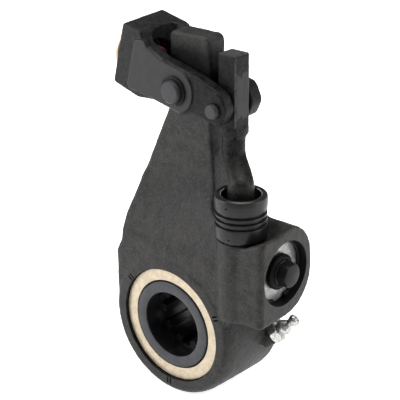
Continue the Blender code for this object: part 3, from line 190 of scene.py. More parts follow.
# Open ring: a rounded rectangle section from inner to outer and low to high, swept round the axis w:
# p = centre + across (cos a u + sin a z) + along w. It is open at the bottom and wider at its two ears.
def openRing(name, centre, u, w, inner, outer, low, high, opening, stations, edge, ears=0.0):
    gap = math.asin(opening / 2 / inner)
    angle = np.linspace(-math.pi / 2 + gap, 3 * math.pi / 2 - gap, stations)
    swell = sum(np.exp(-((away * outer) / 2.5) ** 2) for away in (angle - angle[0], angle[-1] - angle))
    inner = inner - ears * np.clip(swell, 0, 1)
    section = roundedPath([(0, 0, edge), (1, 0, edge), (1, 1, edge), (0, 1, edge)])
    across = inner[:, None] + (outer - inner[:, None]) * section[:, 0]
    along = low + (high - low) * np.broadcast_to(section[:, 1], across.shape)
    ring = np.cos(angle)[:, None] * u + np.sin(angle)[:, None] * axisZ
    verts = np.asarray(centre, float) + across[..., None] * ring[:, None] + along[..., None] * w
    count = len(section)
    ends = [np.arange(count)[None, ::-1], (stations - 1) * count + np.arange(count)[None, :]]
    return buildPiece(name, verts.reshape(-1, 3), [ringQuads(stations, count), *ends], 35)


# Hexagon: r(t) = apothem / cos(t folded to +-30 degrees), held at the rounded corner.
def hexagonRadius(turns, apothem, corner):
    folded = (turnAngles(turns) + math.pi / 6) % (math.pi / 3) - math.pi / 6
    return np.minimum(apothem / np.cos(folded), corner)


# Solid fields


# Signed distance to a closed outline, negative inside:
# the least distance to its edges, with the sign from the number of edges crossed.
def polygonField(u, v, outline):
    nearest = np.full(np.broadcast(u, v).shape, 1e12)
    inside = np.zeros(nearest.shape, bool)
    for (u0, v0), (u1, v1) in zip(outline, np.roll(outline, -1, axis=0)):
        du, dv = u1 - u0, v1 - v0
        share = np.clip(((u - u0) * du + (v - v0) * dv) / (du * du + dv * dv + 1e-12), 0, 1)
        nearest = np.minimum(nearest, (u - u0 - share * du) ** 2 + (v - v0 - share * dv) ** 2)
        if dv:
            inside ^= ((v0 > v) != (v1 > v)) & (u < du * (v - v0) / dv + u0)
    return np.where(inside, -1, 1) * np.sqrt(nearest)


# Intersection of two solids with an edge rounded to a radius:
# min(max(a, b) + r, 0) + sqrt(max(a + r, 0)^2 + max(b + r, 0)^2) - r.
def meet(a, b, radius):
    inner = np.minimum(np.maximum(a, b) + radius, 0)
    return inner + np.sqrt(np.maximum(a + radius, 0) ** 2 + np.maximum(b + radius, 0) ** 2) - radius


# Union with a fillet of that radius, the complement of meet.
def merge(a, b, radius):
    return -meet(-a, -b, radius)


# Union whose fillet shrinks where the two surfaces run the same way, so that flush faces stay flush:
# radius (1 - cos of the angle between the two slopes), held to 0..radius.
def mergeParts(a, b, radius):
    a, b = np.broadcast_arrays(a, b)
    slopesA, slopesB = np.gradient(a), np.gradient(b)
    same = sum(p * q for p, q in zip(slopesA, slopesB))
    sizeA = np.sqrt(sum(p * p for p in slopesA))
    sizeB = np.sqrt(sum(q * q for q in slopesB))
    turn = same / np.maximum(sizeA * sizeB, 1e-9)
    return merge(a, b, radius * np.clip(1 - turn, 0, 1))


# Weight and step of each of a cell's 8 corners, for a point at these shares of the cell.
def cellCorners(share):
    for corner in product((0, 1), repeat=3):
        x, y, z = (s if step else 1 - s for s, step in zip(share, corner))
        yield x * y * z, corner


# Smooth value noise in -1..1: random numbers on a lattice of the given size, blended by the smooth step.
def latticeNoise(x, y, z, size, seed):
    rng = np.random.default_rng(seed)
    table = rng.uniform(-1, 1, (64, 64, 64))
    place = [np.asarray(c, float) / size for c in (x, y, z)]
    cell = [np.floor(p).astype(int) for p in place]
    total = 0
    for weight, corner in cellCorners([smoothStep(p - c) for p, c in zip(place, cell)]):
        total = total + weight * table[tuple((c + step) % 64 for c, step in zip(cell, corner))]
    return total


# Coarse plus finer unevenness, for one casting or forging.
def roughness(x, y, z, size, fineSize, seed):
    return latticeNoise(x, y, z, size, seed) + 0.6 * latticeNoise(x, y, z, fineSize, seed + 1)


# The surface where a field on a grid is zero. Each cell with a sign change gets one point, the mean
# of its edge crossings p0 + f0 / (f0 - f1) (p1 - p0), and each grid edge with a change gets a face.
# The points are then settled onto the zero.
def fieldSurface(field, low, step):
    inside = field < 0
    shape = np.array(field.shape)
    corner = np.array(list(product((0, 1), repeat=3)))

    def window(grid, shift):
        return grid[tuple(slice(s, n - 1 + s) for s, n in zip(shift, shape))]

    count = sum(window(inside, c).astype(np.int8) for c in corner)
    active = (count > 0) & (count < 8)
    index = np.full(active.shape, -1, np.int64)
    cells = np.argwhere(active)
    index[active] = np.arange(len(cells))
    values = np.stack([window(field, c)[active] for c in corner], axis=-1)
    total = np.zeros((len(cells), 3))
    hits = np.zeros(len(cells))
    for first in range(8):
        for second in range(first + 1, 8):
            if np.abs(corner[first] - corner[second]).sum() != 1:
                continue
            f0, f1 = values[:, first], values[:, second]
            crossed = (f0 < 0) != (f1 < 0)
            share = np.where(crossed, f0 / np.where(crossed, f0 - f1, 1), 0)
            point = corner[first] + share[:, None] * (corner[second] - corner[first])
            total += np.where(crossed[:, None], point, 0)
            hits += crossed
    verts = np.asarray(low) + (cells + total / hits[:, None]) * step
    faces = []
    for axis in range(3):
        one, two = (axis + 1) % 3, (axis + 2) % 3
        near = [slice(None)] * 3
        far = [slice(None)] * 3
        near[axis], far[axis] = slice(0, -1), slice(1, None)
        a, b = inside[tuple(near)], inside[tuple(far)]
        where = np.argwhere(a != b)
        keep = (where[:, one] > 0) & (where[:, two] > 0)
        keep &= (where[:, one] < shape[one] - 1) & (where[:, two] < shape[two] - 1)
        where = where[keep]
        solidBelow = a[tuple(where.T)]
        quad = []
        for d1, d2 in ((-1, -1), (0, -1), (0, 0), (-1, 0)):
            spot = where.copy()
            spot[:, one] += d1
            spot[:, two] += d2
            quad.append(index[tuple(spot.T)])
        quad = np.stack(quad, axis=-1)
        faces.append(np.where(solidBelow[:, None], quad, quad[:, ::-1]))
    return settle(verts, field, low, step), np.vstack(faces)


# Moves points onto the zero of the field: p - f g / |g|^2 with f and its slope g read between grid points.
def settle(verts, field, low, step, rounds=2):
    slope = np.gradient(field, step)
    top = np.array(field.shape) - 2
    for _ in range(rounds):
        place = (verts - np.asarray(low)) / step
        cell = np.clip(np.floor(place).astype(int), 0, top)
        weights = list(cellCorners((place - cell).T))

        def read(grid):
            return sum(weight * grid[tuple((cell + corner).T)] for weight, corner in weights)

        value = read(field)
        lean = np.stack([read(s) for s in slope], axis=-1)
        move = value[:, None] * lean / np.maximum((lean**2).sum(axis=1), 0.2)[:, None]
        verts = verts - np.clip(move, -0.4 * step, 0.4 * step)
    return verts


def gridOf(low, high, step):
    step = step * 1
    x, y, z = (np.arange(a, b + step, step) for a, b in zip(low, high))
    return step, x[:, None, None], y[None, :, None], z[None, None, :]


# A closed rod or cone between two heights, as a cutting tool.
def cutter(origin, axis, radius, low, high, endRadius=None, turns=192):
    endRadius = radius if endRadius is None else endRadius
    profile = [(0, low, 0), (radius, low, 0), (endRadius, high, 0), (0, high, 0)]
    return turnedPiece("cutter", profile, origin, np.asarray(axis, float), turns=turns)


# A closed box as a cutting tool: centre plus and minus three half edges.
def barCutter(centre, first, second, third):
    signs = np.array([(a, b, c) for c in (-1, 1) for b in (-1, 1) for a in (-1, 1)])
    verts = np.asarray(centre) + signs @ np.stack([first, second, third])
    faces = np.array([(0, 1, 3, 2), (4, 6, 7, 5), (0, 4, 5, 1), (2, 3, 7, 6), (0, 2, 6, 4), (1, 5, 7, 3)])
    return buildPiece("cutter", verts, [faces])


# Cuts tools out of a piece one after another and removes them.
def carve(piece, tools):
    for tool in tools:
        step = piece.modifiers.new("carve", "BOOLEAN")
        step.operation = "DIFFERENCE"
        step.solver = "MANIFOLD"
        step.object = tool
        graph = bpy.context.evaluated_depsgraph_get()
        mesh = bpy.data.meshes.new_from_object(piece.evaluated_get(graph))
        piece.modifiers.clear()
        piece.data = mesh
        bpy.data.objects.remove(tool, do_unlink=True)
    return piece


# Finishes


# A small helper round one material's nodes. Among inputs, a socket is joined and any other value is set.
class Finish:
    def __init__(self, name):
        self.material = bpy.data.materials.new(name)
        self.material.use_nodes = True
        self.tree = self.material.node_tree
        self.shader = self.tree.nodes["Principled BSDF"]
        self.coords = self.add("ShaderNodeTexCoord").outputs["Object"]

    def fill(self, node, inputs):
        for key, value in inputs.items():
            if isinstance(value, bpy.types.NodeSocket):
                self.tree.links.new(value, node.inputs[key])
            else:
                node.inputs[key].default_value = value

    def add(self, kind, inputs=None, **settings):
        made = self.tree.nodes.new(kind)
        for key, value in settings.items():
            setattr(made, key, value)
        self.fill(made, inputs or {})
        return made

    # One step of vector arithmetic.
    def combine(self, operation, *values):
        return self.add("ShaderNodeVectorMath", dict(enumerate(values)), operation=operation)

    # Noise over the object's own coordinates; size is the blob size in millimetres.
    def noise(self, size, detail=3.0, roughness=0.55):
        place = {"Vector": self.coords, "Scale": 1 / (size * mm)}
        return self.add("ShaderNodeTexNoise", {**place, "Detail": detail, "Roughness": roughness}).outputs[0]

    # Distance to the middle of the nearest cell, for pits.
    def cells(self, size):
        place = {"Vector": self.coords, "Scale": 1 / (size * mm)}
        return self.add("ShaderNodeTexVoronoi", place).outputs["Distance"]

    # Noise that only changes with the distance from an axis, as a lathe leaves it.
    def rings(self, centre, axis, size, detail=2.0):
        shift = self.combine("SUBTRACT", self.coords, [c * mm for c in centre])
        flat = self.combine("CROSS_PRODUCT", shift.outputs[0], axis)
        length = self.combine("LENGTH", flat.outputs[0])
        place = {"W": length.outputs["Value"], "Scale": 1 / (size * mm), "Detail": detail}
        return self.add("ShaderNodeTexNoise", place, noise_dimensions="1D").outputs[0]

    # Straight map of a value from one span to another, held at the ends.
    def span(self, value, *limits):
        ends = dict(zip(("From Min", "From Max", "To Min", "To Max"), limits))
        return self.add("ShaderNodeMapRange", {"Value": value, **ends}).outputs[0]

    # first (1 - factor) + second factor; the Mix node's colours are its sockets 6 and 7, its result is 2.
    def mixColour(self, factor, first, second):
        return self.add("ShaderNodeMix", {"Factor": factor, 6: first, 7: second}, data_type="RGBA").outputs[2]

    # Heights (value, depth in millimetres) stacked as bumps.
    def relief(self, *heights):
        normal = {}
        for value, depth in heights:
            bump = self.add("ShaderNodeBump", {"Height": value, "Strength": 1.0, "Distance": depth * mm, **normal})
            normal = {"Normal": bump.outputs["Normal"]}
        self.fill(self.shader, normal)


# Red, green, blue and 1, from three numbers or from one for a grey.
def tint(value):
    return (*value, 1) if isinstance(value, tuple) else (value, value, value, 1)


# The common finish: blotches between two colours, fine specks, uneven sheen and a fine relief, plus painted shade
# where a look has shade.
def metalFinish(name, look):
    look = {**plainLook, **look}
    made = Finish(name)
    blotch = made.noise(look["blotch"], 4.0)
    speck = made.noise(look["grain"] * 1.7, 2.0)
    colour = made.mixColour(made.span(blotch, 0.38, 0.64, 0, 1), tint(look["dark"]), tint(look["light"]))
    if "stain" in look:
        stain = made.noise(look["blotch"] * 2.3, 5.0, 0.65)
        colour = made.mixColour(made.span(stain, 0.52, 0.72, 0, look["stainShare"]), colour, tint(look["stain"]))
    colour = made.mixColour(made.span(speck, 0.56, 0.74, 0, look["speckShare"]), colour, tint(look["speck"]))
    shine = look["specular"]
    # painted shade: near the centre the colour goes towards black and the reflection drops
    if "shade" in look:
        centre, near, far, depth = look["shade"]
        away = made.combine("DISTANCE", made.coords, [c * mm for c in centre])
        dim = made.span(away.outputs["Value"], near * mm, far * mm, depth, 0)
        height = made.add("ShaderNodeSeparateXYZ", {0: made.coords}).outputs["Z"]
        for fade in paintedShadeFades:
            factors = {0: dim, 1: made.span(height, *fade)}
            dim = made.add("ShaderNodeMath", factors, operation="MULTIPLY").outputs[0]
        colour = made.mixColour(dim, colour, tint(0.002))
        shine = made.span(dim, 0, 1, look["specular"], 0.03)
    rough = made.span(blotch, 0.3, 0.7, look["roughness"] - look["sheen"], look["roughness"] + look["sheen"])
    made.fill(made.shader, {
        "Base Color": colour, "Roughness": rough, "Metallic": look["metallic"], "Specular IOR Level": shine,
    })
    heights = [(made.noise(look["grain"], 3.0), look["grainDepth"])]
    if "pits" in look:
        heights.append((made.span(made.cells(look["pits"]), 0.0, 0.32, 0, 1), look["pitDepth"]))
    if "waves" in look:
        heights.append((made.noise(look["waves"], 2.0), look["waveDepth"]))
    if "turned" in look:
        centre, axis, size, depth = look["turned"]
        heights.append((made.rings(centre, axis, size), depth))
    made.relief(*heights)
    return made.material

# Heights in metres between which the painted shade of a finish comes in (0 to 1) and fades out (1 to 0).
paintedShadeFades = ((0.139, 0.147, 0, 1), (0.160, 0.1695, 1, 0))
# Colours are red, green and blue, or one number for a grey; sizes and depths are in millimetres.
# turned is (centre, axis, spacing, depth) of lathe rings; shade is (centre, near, far, depth) of a zone of painted
# shade.
plainLook = {
    "speckShare": 0.3, "blotch": 3.0, "grain": 0.4, "grainDepth": 0.02,
    "roughness": 0.42, "sheen": 0.08, "metallic": 0.0, "specular": 0.5,
}
looks = {
    # castIron's shade is painted shade on the arm round the large pin, beside the clevis.
    "castIron": {
        "light": (0.0222, 0.0211, 0.0203), "dark": (0.0085, 0.0082, 0.008), "speck": (0.06, 0.058, 0.056),
        "speckShare": 0.55, "stain": (0.017, 0.0125, 0.012), "stainShare": 0.4, "blotch": 5.0, "grain": 0.6,
        "grainDepth": 0.19, "pits": 2.2, "pitDepth": 0.1, "waves": 3.2, "waveDepth": 0.3, "roughness": 0.46,
        "specular": 0.145, "shade": ((0, 0, 139.7), 20.0, 46.0, 0.92),
    },
    "forgedBlack": {
        "light": 0.011, "dark": 0.004, "speck": (0.045, 0.045, 0.042), "speckShare": 0.4,
        "stain": (0.011, 0.009, 0.007), "stainShare": 0.3, "grain": 0.5, "grainDepth": 0.09, "pits": 1.4,
        "pitDepth": 0.08, "waves": 2.6, "waveDepth": 0.22, "sheen": 0.1, "specular": 0.12,
    },
    "padSteel": {
        "light": 0.022, "dark": 0.017, "speck": 0.045, "speckShare": 0.25, "blotch": 5.0, "grain": 0.45,
        "grainDepth": 0.03, "waves": 4.0, "waveDepth": 0.06, "roughness": 0.46, "sheen": 0.05,
        "specular": 0.145,
    },
    "groundSteel": {
        "light": (0.019, 0.019, 0.02), "dark": (0.012, 0.012, 0.013), "speck": 0.06, "speckShare": 0.35,
        "grainDepth": 0.03, "waves": 2.4, "waveDepth": 0.05, "roughness": 0.4, "specular": 0.14,
    },
    # worn metal with a painted highlight, on the link bar's front corner and top
    "wornAndHighlitSteel": {
        "light": 0.042, "dark": 0.012, "speck": (0.13, 0.13, 0.125), "speckShare": 0.6, "blotch": 1.6,
        "grainDepth": 0.04, "waves": 1.8, "waveDepth": 0.06, "roughness": 0.4, "specular": 0.2,
    },
    "greasedSteel": {
        "light": (0.0112, 0.0118, 0.0102), "dark": (0.0062, 0.0066, 0.0056), "speck": (0.07, 0.07, 0.06),
        "blotch": 2.2, "grain": 0.5, "grainDepth": 0.03, "waves": 1.8, "waveDepth": 0.12, "sheen": 0.1,
        "specular": 0.1,
    },
    # pale grease with painted glints, at the boot's mouth
    "greaseWithGlints": {
        "light": (0.5, 0.47, 0.36), "dark": (0.16, 0.15, 0.11), "speck": (0.7, 0.68, 0.55), "blotch": 1.2,
        "grainDepth": 0.03, "waves": 1.0, "waveDepth": 0.1, "roughness": 0.3, "sheen": 0.1,
    },
    # machined iron, darkened as painted shade in the bores and the lobe's recess
    "machinedIron": {
        "light": 0.007, "dark": 0.004, "speck": 0.03, "speckShare": 0.25, "blotch": 4.0,
        "grainDepth": 0.015, "roughness": 0.4, "sheen": 0.06, "specular": 0.08,
    },
    "goldZinc": {
        "light": (0.43, 0.365, 0.27), "dark": (0.335, 0.275, 0.195), "speck": (0.62, 0.55, 0.41),
        "speckShare": 0.5, "stain": (0.33, 0.28, 0.24), "stainShare": 0.3, "blotch": 3.2, "grain": 0.45,
        "grainDepth": 0.025, "waves": 2.4, "waveDepth": 0.02, "roughness": 0.4, "sheen": 0.1,
        "metallic": 0.55, "turned": ((0, 0, 0), (0, 1, 0), 0.5, 0.01),
    },
    "wheelSteel": {
        "light": (0.032, 0.033, 0.037), "dark": (0.021, 0.022, 0.025), "speck": (0.07, 0.07, 0.08),
        "speckShare": 0.25, "blotch": 5.0, "grainDepth": 0.012, "sheen": 0.06, "specular": 0.22,
        "turned": ((0, 0, 0), (0, 1, 0), 0.35, 0.008),
    },
    # the wheel's steel darkened as painted shade inside its bore
    "boreSteel": {
        "light": (0.006, 0.006, 0.007), "dark": (0.003, 0.003, 0.0035), "speck": 0.02, "speckShare": 0.2,
        "blotch": 4.0, "grainDepth": 0.01, "roughness": 0.34, "sheen": 0.06, "specular": 0.2,
    },
    "gearSteel": {
        "light": (0.08, 0.08, 0.09), "dark": (0.04, 0.04, 0.05), "speck": 0.16, "roughness": 0.36,
        "metallic": 0.7,
    },
    "plateSteel": {
        "light": (0.32, 0.32, 0.31), "dark": (0.2, 0.2, 0.195), "speck": 0.6, "roughness": 0.36,
        "metallic": 0.6, "turned": ((0, 0, 46.2), (1, 0, 0), 0.5, 0.012),
    },
    "darkSteel": {
        "light": 0.009, "dark": 0.005, "speck": 0.03, "speckShare": 0.35, "roughness": 0.4,
        "specular": 0.08,
    },
    "pinSteel": {
        "light": (0.028, 0.028, 0.03), "dark": (0.019, 0.019, 0.021), "speck": 0.07, "speckShare": 0.35,
        "blotch": 2.5, "specular": 0.19,
    },
    "brightZinc": {
        "light": (0.5, 0.5, 0.48), "dark": (0.26, 0.26, 0.25), "speck": (0.8, 0.8, 0.78), "blotch": 1.2,
        "grain": 0.3, "waves": 2.2, "waveDepth": 0.04, "roughness": 0.32, "metallic": 0.85,
    },
    "bronze": {
        "light": (0.36, 0.24, 0.12), "dark": (0.22, 0.14, 0.07), "speck": (0.5, 0.38, 0.2), "blotch": 2.5,
        "metallic": 0.9,
    },
    "rubber": {
        "light": (0.0075, 0.0075, 0.0082), "dark": (0.0042, 0.0042, 0.0046), "speck": 0.022,
        "speckShare": 0.2, "blotch": 4.0, "grain": 0.5, "grainDepth": 0.012, "waves": 3.0,
        "waveDepth": 0.03, "roughness": 0.36, "sheen": 0.06, "specular": 0.22,
    },
    "sealRubber": {
        "light": (0.0035, 0.0035, 0.004), "dark": 0.002, "speck": 0.01, "speckShare": 0.2, "grain": 0.5,
        "grainDepth": 0.012, "roughness": 0.5, "sheen": 0.06, "specular": 0.06,
    },
    "redPlastic": {
        "light": (0.085, 0.011, 0.02), "dark": (0.048, 0.006, 0.011), "speck": (0.12, 0.03, 0.035),
        "speckShare": 0.2, "grain": 0.5, "grainDepth": 0.01, "roughness": 0.4, "sheen": 0.05,
    },
}
# linkBlack is forgedBlack with less reflection; on the clevis's open end it serves as painted shade.
looks["linkBlack"] = {**looks["forgedBlack"], "specular": 0.07}
finishes = {name: metalFinish(name, look) for name, look in looks.items()}
print("stage: finishes made")


# Cast housing


housingSizes = {
    "gridStep": 0.9,
    "hubRadius": 43.8, "halfWidth": 22.5, "frontFlat": 40.0, "frontDrop": 9.1, "rearEdge": 1.3, "rearSwell": 1.5,
    "bodyHalf": 22.0, "armHalf": 6.5, "flareLow": 46.0, "flareHigh": 82.7,
    "armEdge": 1.2, "lobeEdge": 1.5, "fillet": 2.4,
    "wormHeight": 46.2, "lobeFace": 65.6, "lobeFront": 22.0, "lobeBack": 23.4, "lobeTop": 26.5, "lobeBottom": 26.7,
    "frontCorner": 4.0, "topRound": 8.0, "backRound": 22.5, "topRise": 0.75, "bootSeat": 14.75,
    "rackX": 42.4, "rackY": -10.1, "bossRadius": 13.3, "bossTop": 65.0,
    "ringSeat": 34.8, "recess": 18.7, "recessFloor": 56.7, "grooveRadius": 19.5,
    "wormBore": 15.4, "wormEnd": 8.5, "rackBore": 10.05, "rodBore": 7.45, "rodFoot": 9.1, "pinBore": 9.25,
    "fittingBoss": 5.0, "fittingSeat": 5.6, "fittingHole": 3.3, "roughCast": 0.11,
    "marks": [(-29.6, 21.8), (34.4, 16.8), (-1.4, -36.9)], "strokeGap": 1.1, "strokeHalf": (1.9, 0.5, 1.6),
}
# The casting's side view, each corner as (x, z, radius).
housingSide = [
    (-10, 170, 4), (18.0, 170, 4), (18.0, 111.7, 60), (20.0, 97, 20), (20.5, 72, 6), (43.4, 71, 2),
    (43.4, 20.5, 0), (34.8, 0, 0), (-41.3, 0, 0), (-41.3, 36.0, 3), (-37.0, 44.6, 4), (-35.5, 60, 8),
    (-32.6, 81, 14), (-10, 129.6, 24),
]
fittingPlace = np.array([46.6, 13.7, -4.9])
fittingTip = np.array([57.77, 21.78, 6.45])
fittingAxis = (fittingTip - fittingPlace) / np.linalg.norm(fittingTip - fittingPlace)
largePin = np.array([0.0, 0.0, 139.7])
worm = np.array([0, 0, housingSizes["wormHeight"]])
rack = np.array([housingSizes["rackX"], housingSizes["rackY"], 0])


# The casting as one field: a plate that thins upward, joined with the hub, the worm lobe, the rack boss and
# the fitting's boss.
def housingField(x, y, z, s):
    plate = polygonField(x, z, roundedPath(housingSide))
    # half thickness: armHalf + (bodyHalf - armHalf) (1 + cos(pi share)) / 2, from the hub up to a curved line
    bow = np.where(x < -2, 0.00727, 0.00372) * (x + 2) ** 2
    reach = s["flareHigh"] + bow - s["flareLow"]
    share = np.clip((z - s["flareLow"]) / reach, 0, 1)
    swell = s["bodyHalf"] - s["armHalf"]
    half = s["armHalf"] + swell * (1 + np.cos(math.pi * share)) / 2
    lean = swell * math.pi / 2 * np.sin(math.pi * share) / reach
    across = (np.abs(y) - half) / np.sqrt(1 + lean**2)
    body = meet(plate, across, s["armEdge"])

    # hub: its section in radius and y, read from a fine table
    slant = s["hubRadius"] - s["frontFlat"]
    front = [
        (s["frontFlat"] + slant * math.sin(a), -s["halfWidth"] + s["frontDrop"] * (1 - math.cos(a)))
        for a in np.linspace(0, math.pi / 2, 10)
    ]
    widest = s["hubRadius"] + s["rearSwell"]
    rear = [(widest, s["halfWidth"] - s["rearEdge"]), (widest - s["rearEdge"], s["halfWidth"])]
    section = np.array([(-80, -s["halfWidth"]), *front, *rear, (-80, s["halfWidth"])])
    fine = 0.25
    spread = np.arange(0, 190, fine)
    table = polygonField(spread[:, None], y[0, :, 0][None, :], section)
    radius = np.sqrt(x**2 + z**2)
    cell = np.clip((radius / fine).astype(int), 0, len(spread) - 2)[:, 0, :]
    part = (radius[:, 0, :] / fine - cell)[..., None]
    hub = (table[cell] * (1 - part) + table[cell + 1] * part).transpose(0, 2, 1)
    body = mergeParts(body, hub, 1.0)

    low, high = s["wormHeight"] - s["lobeBottom"], s["wormHeight"] + s["lobeTop"]
    block = polygonField(y, z, roundedPath([
        (-s["lobeFront"], high, s["topRound"]), (s["lobeBack"], high, s["backRound"]),
        (s["lobeBack"], low, s["backRound"]), (-s["lobeFront"], low, 1.0),
    ]))
    plan = meet(x - s["lobeFace"], -s["lobeFront"] - y, s["frontCorner"])
    lobe = meet(meet(block, plan, s["lobeEdge"]), 38.0 - x, 1.0)
    # the lobe's top climbs away from the boot's seat: z = bossTop + topRise (distance - bootSeat)
    fromRack = np.sqrt((x - s["rackX"]) ** 2 + (y - s["rackY"]) ** 2)
    climb = z - s["bossTop"] - s["topRise"] * np.maximum(fromRack - s["bootSeat"], 0)
    lobe = meet(lobe, climb / math.sqrt(1 + s["topRise"] ** 2), 2.5)
    body = mergeParts(body, lobe, s["fillet"])

    boss = meet(meet(fromRack - s["bossRadius"], z - s["bossTop"], 0.6), 18 - z, 1.2)
    body = mergeParts(body, boss, 1.8)

    dx, dy, dz = x - fittingPlace[0], y - fittingPlace[1], z - fittingPlace[2]
    along = dx * fittingAxis[0] + dy * fittingAxis[1] + dz * fittingAxis[2]
    away = np.sqrt(np.maximum(dx**2 + dy**2 + dz**2 - along**2, 0))
    nippleBoss = meet(meet(away - s["fittingBoss"], along, 0.5), -7 - along, 0.5)
    body = merge(body, nippleBoss, 1.5)
    return body + s["roughCast"] * roughness(x, y, z, 5.0, 2.2, 3)


# Bores of the casting: origin, axis, radius, low, high, turns of the tool, and if the cut gets the machined
# finish, darkened as painted shade.
def housingBores(s):
    return [
        ((0, 0, 0), axisY, s["ringSeat"], -40, 40, 256, True),
        (worm, axisX, s["wormBore"], -18, 60, 192, False),
        (worm, axisX, s["wormEnd"], -33, 0, 96, False),
        (worm, axisX, s["recess"], s["recessFloor"], 90, 256, True),
        (worm, axisX, s["grooveRadius"], 59.6, 61.5, 256, False),
        (rack, axisZ, s["bootSeat"], s["bossTop"], 90, 192, True),
        (rack, axisZ, s["rackBore"], 60, 90, 192, False),
        (rack, axisZ, s["rodBore"], 16.5, 70, 96, False),
        (rack, axisZ, s["rodFoot"], 16.5, 22.5, 96, False),
        (largePin, axisY, s["pinBore"], -30, 30, 96, True),
        (fittingPlace, fittingAxis, s["fittingSeat"], 0, 7, 96, True),
        (fittingPlace, fittingAxis, s["fittingHole"], -6, 3, 48, False),
    ]


# The zero of the field, less the bores and the punched strokes beside the ring: pairs of short, thin bars
# that point at the hub's bore.
def makeHousing(s):
    low, high = (-47.0, -25.5, -47.0), (69.5, 25.5, 173.5)
    step, x, y, z = gridOf(low, high, s["gridStep"])
    verts, quads = fieldSurface(housingField(x, y, z, s), low, step)
    piece = buildPiece("castHousing", verts, [quads], 60)
    tools = [cutter(*bore[:5], turns=bore[5]) for bore in housingBores(s)]
    length, width, depth = s["strokeHalf"]
    for markX, markZ in s["marks"]:
        inward = -np.array([markX, 0, markZ]) / math.hypot(markX, markZ)
        beside = np.cross(inward, axisY)
        for shift in (-s["strokeGap"], s["strokeGap"]):
            middle = np.array([markX, -s["halfWidth"], markZ]) + shift * beside
            tools.append(barCutter(middle, inward * length, beside * width, axisY * depth))
    return carve(piece, tools)


# Gives a piece its first finish, and each further one where its test of face centres (millimetres) and
# normals holds. Finishes and tests are pairs; a later pair wins.
def markFaces(piece, first, marks, crease=38):
    mesh = piece.data
    mesh.materials.clear()
    names = list(dict.fromkeys([first, *(surface for surface, _ in marks)]))
    for surface in names:
        mesh.materials.append(finishes[surface])
    count = len(mesh.polygons)
    centres, normals = np.empty(count * 3, np.float32), np.empty(count * 3, np.float32)
    mesh.polygons.foreach_get("center", centres)
    mesh.polygons.foreach_get("normal", normals)
    centres, normals = centres.reshape(-1, 3) / mm, normals.reshape(-1, 3)
    chosen = np.zeros(count, np.int32)
    for surface, test in marks:
        chosen[test(centres, normals)] = names.index(surface)
    mesh.polygons.foreach_set("material_index", chosen)
    mesh.shade_smooth()
    mesh.set_sharp_from_angle(angle=math.radians(crease))
    mesh.update()


# A test for faces left by a cutter: its wall, at the radius and across the axis, and its flat ends.
def onTool(origin, axis, radius, low, high, slack=0.12):
    def test(points, normals):
        rel = points - np.asarray(origin)
        along = rel @ np.asarray(axis)
        away = np.linalg.norm(rel - along[:, None] * np.asarray(axis), axis=1)
        lean = np.abs(normals @ np.asarray(axis))
        wall = (np.abs(away - radius) < slack) & (lean < 0.05) & (along > low - slack) & (along < high + slack)
        atEnd = (np.abs(along - low) < 0.02) | (np.abs(along - high) < 0.02)
        return wall | ((away < radius + slack) & (lean > 0.999) & atEnd)
    return test


castHousing = makeHousing(housingSizes)
# the machined cuts get the dark machined finish, which is painted shade
machined = [("machinedIron", onTool(*bore[:5])) for bore in housingBores(housingSizes) if bore[6]]
markFaces(castHousing, "castIron", machined)
dress(castHousing, None, "body", "cast_iron", "housing")
print("stage: housing", len(castHousing.data.polygons), "faces")


# Cover rings

ringSizes = {"inner": 27.3, "outer": 34.5, "back": 17.5, "face": 20.5, "edge": 0.45}


# A flat ring with rounded face edges, turned round the hub's axis.
def makeRing(name, facing, s):
    profile = [
        (s["inner"], s["back"], 0.2), (s["outer"], s["back"], 0.2),
        (s["outer"], s["face"], s["edge"]), (s["inner"], s["face"], s["edge"]),
    ]
    return turnedPiece(name, profile, (0, 0, 0), axisY * facing, closed=True, turns=256)


for ringName, node, facing in (("frontRing", "front_ring", -1), ("rearRing", "rear_ring", 1)):
    dress(makeRing(ringName, facing, ringSizes), "goldZinc", "body", "gold_zinc", node)
print("stage: rings")


# Worm wheel

wheelSizes = {
    "teeth": 26, "pitch": 32.7, "addendum": 1.3, "dedendum": 1.7, "toothHalf": 11.0, "toothShare": 0.40,
    "wormPitch": 13.5, "flank": 20,
    "shoulder": 30.3, "shoulderEnd": 17.2, "neck": 26.4, "neckEnd": 20.9, "neckEdge": 0.6,
    "splineMajor": 19.05, "splineMinor": 15.45, "splineSpace": 5.9, "splines": 10,
    "plainRadius": 19.85, "plainDepth": 12.5, "turns": 960,
}


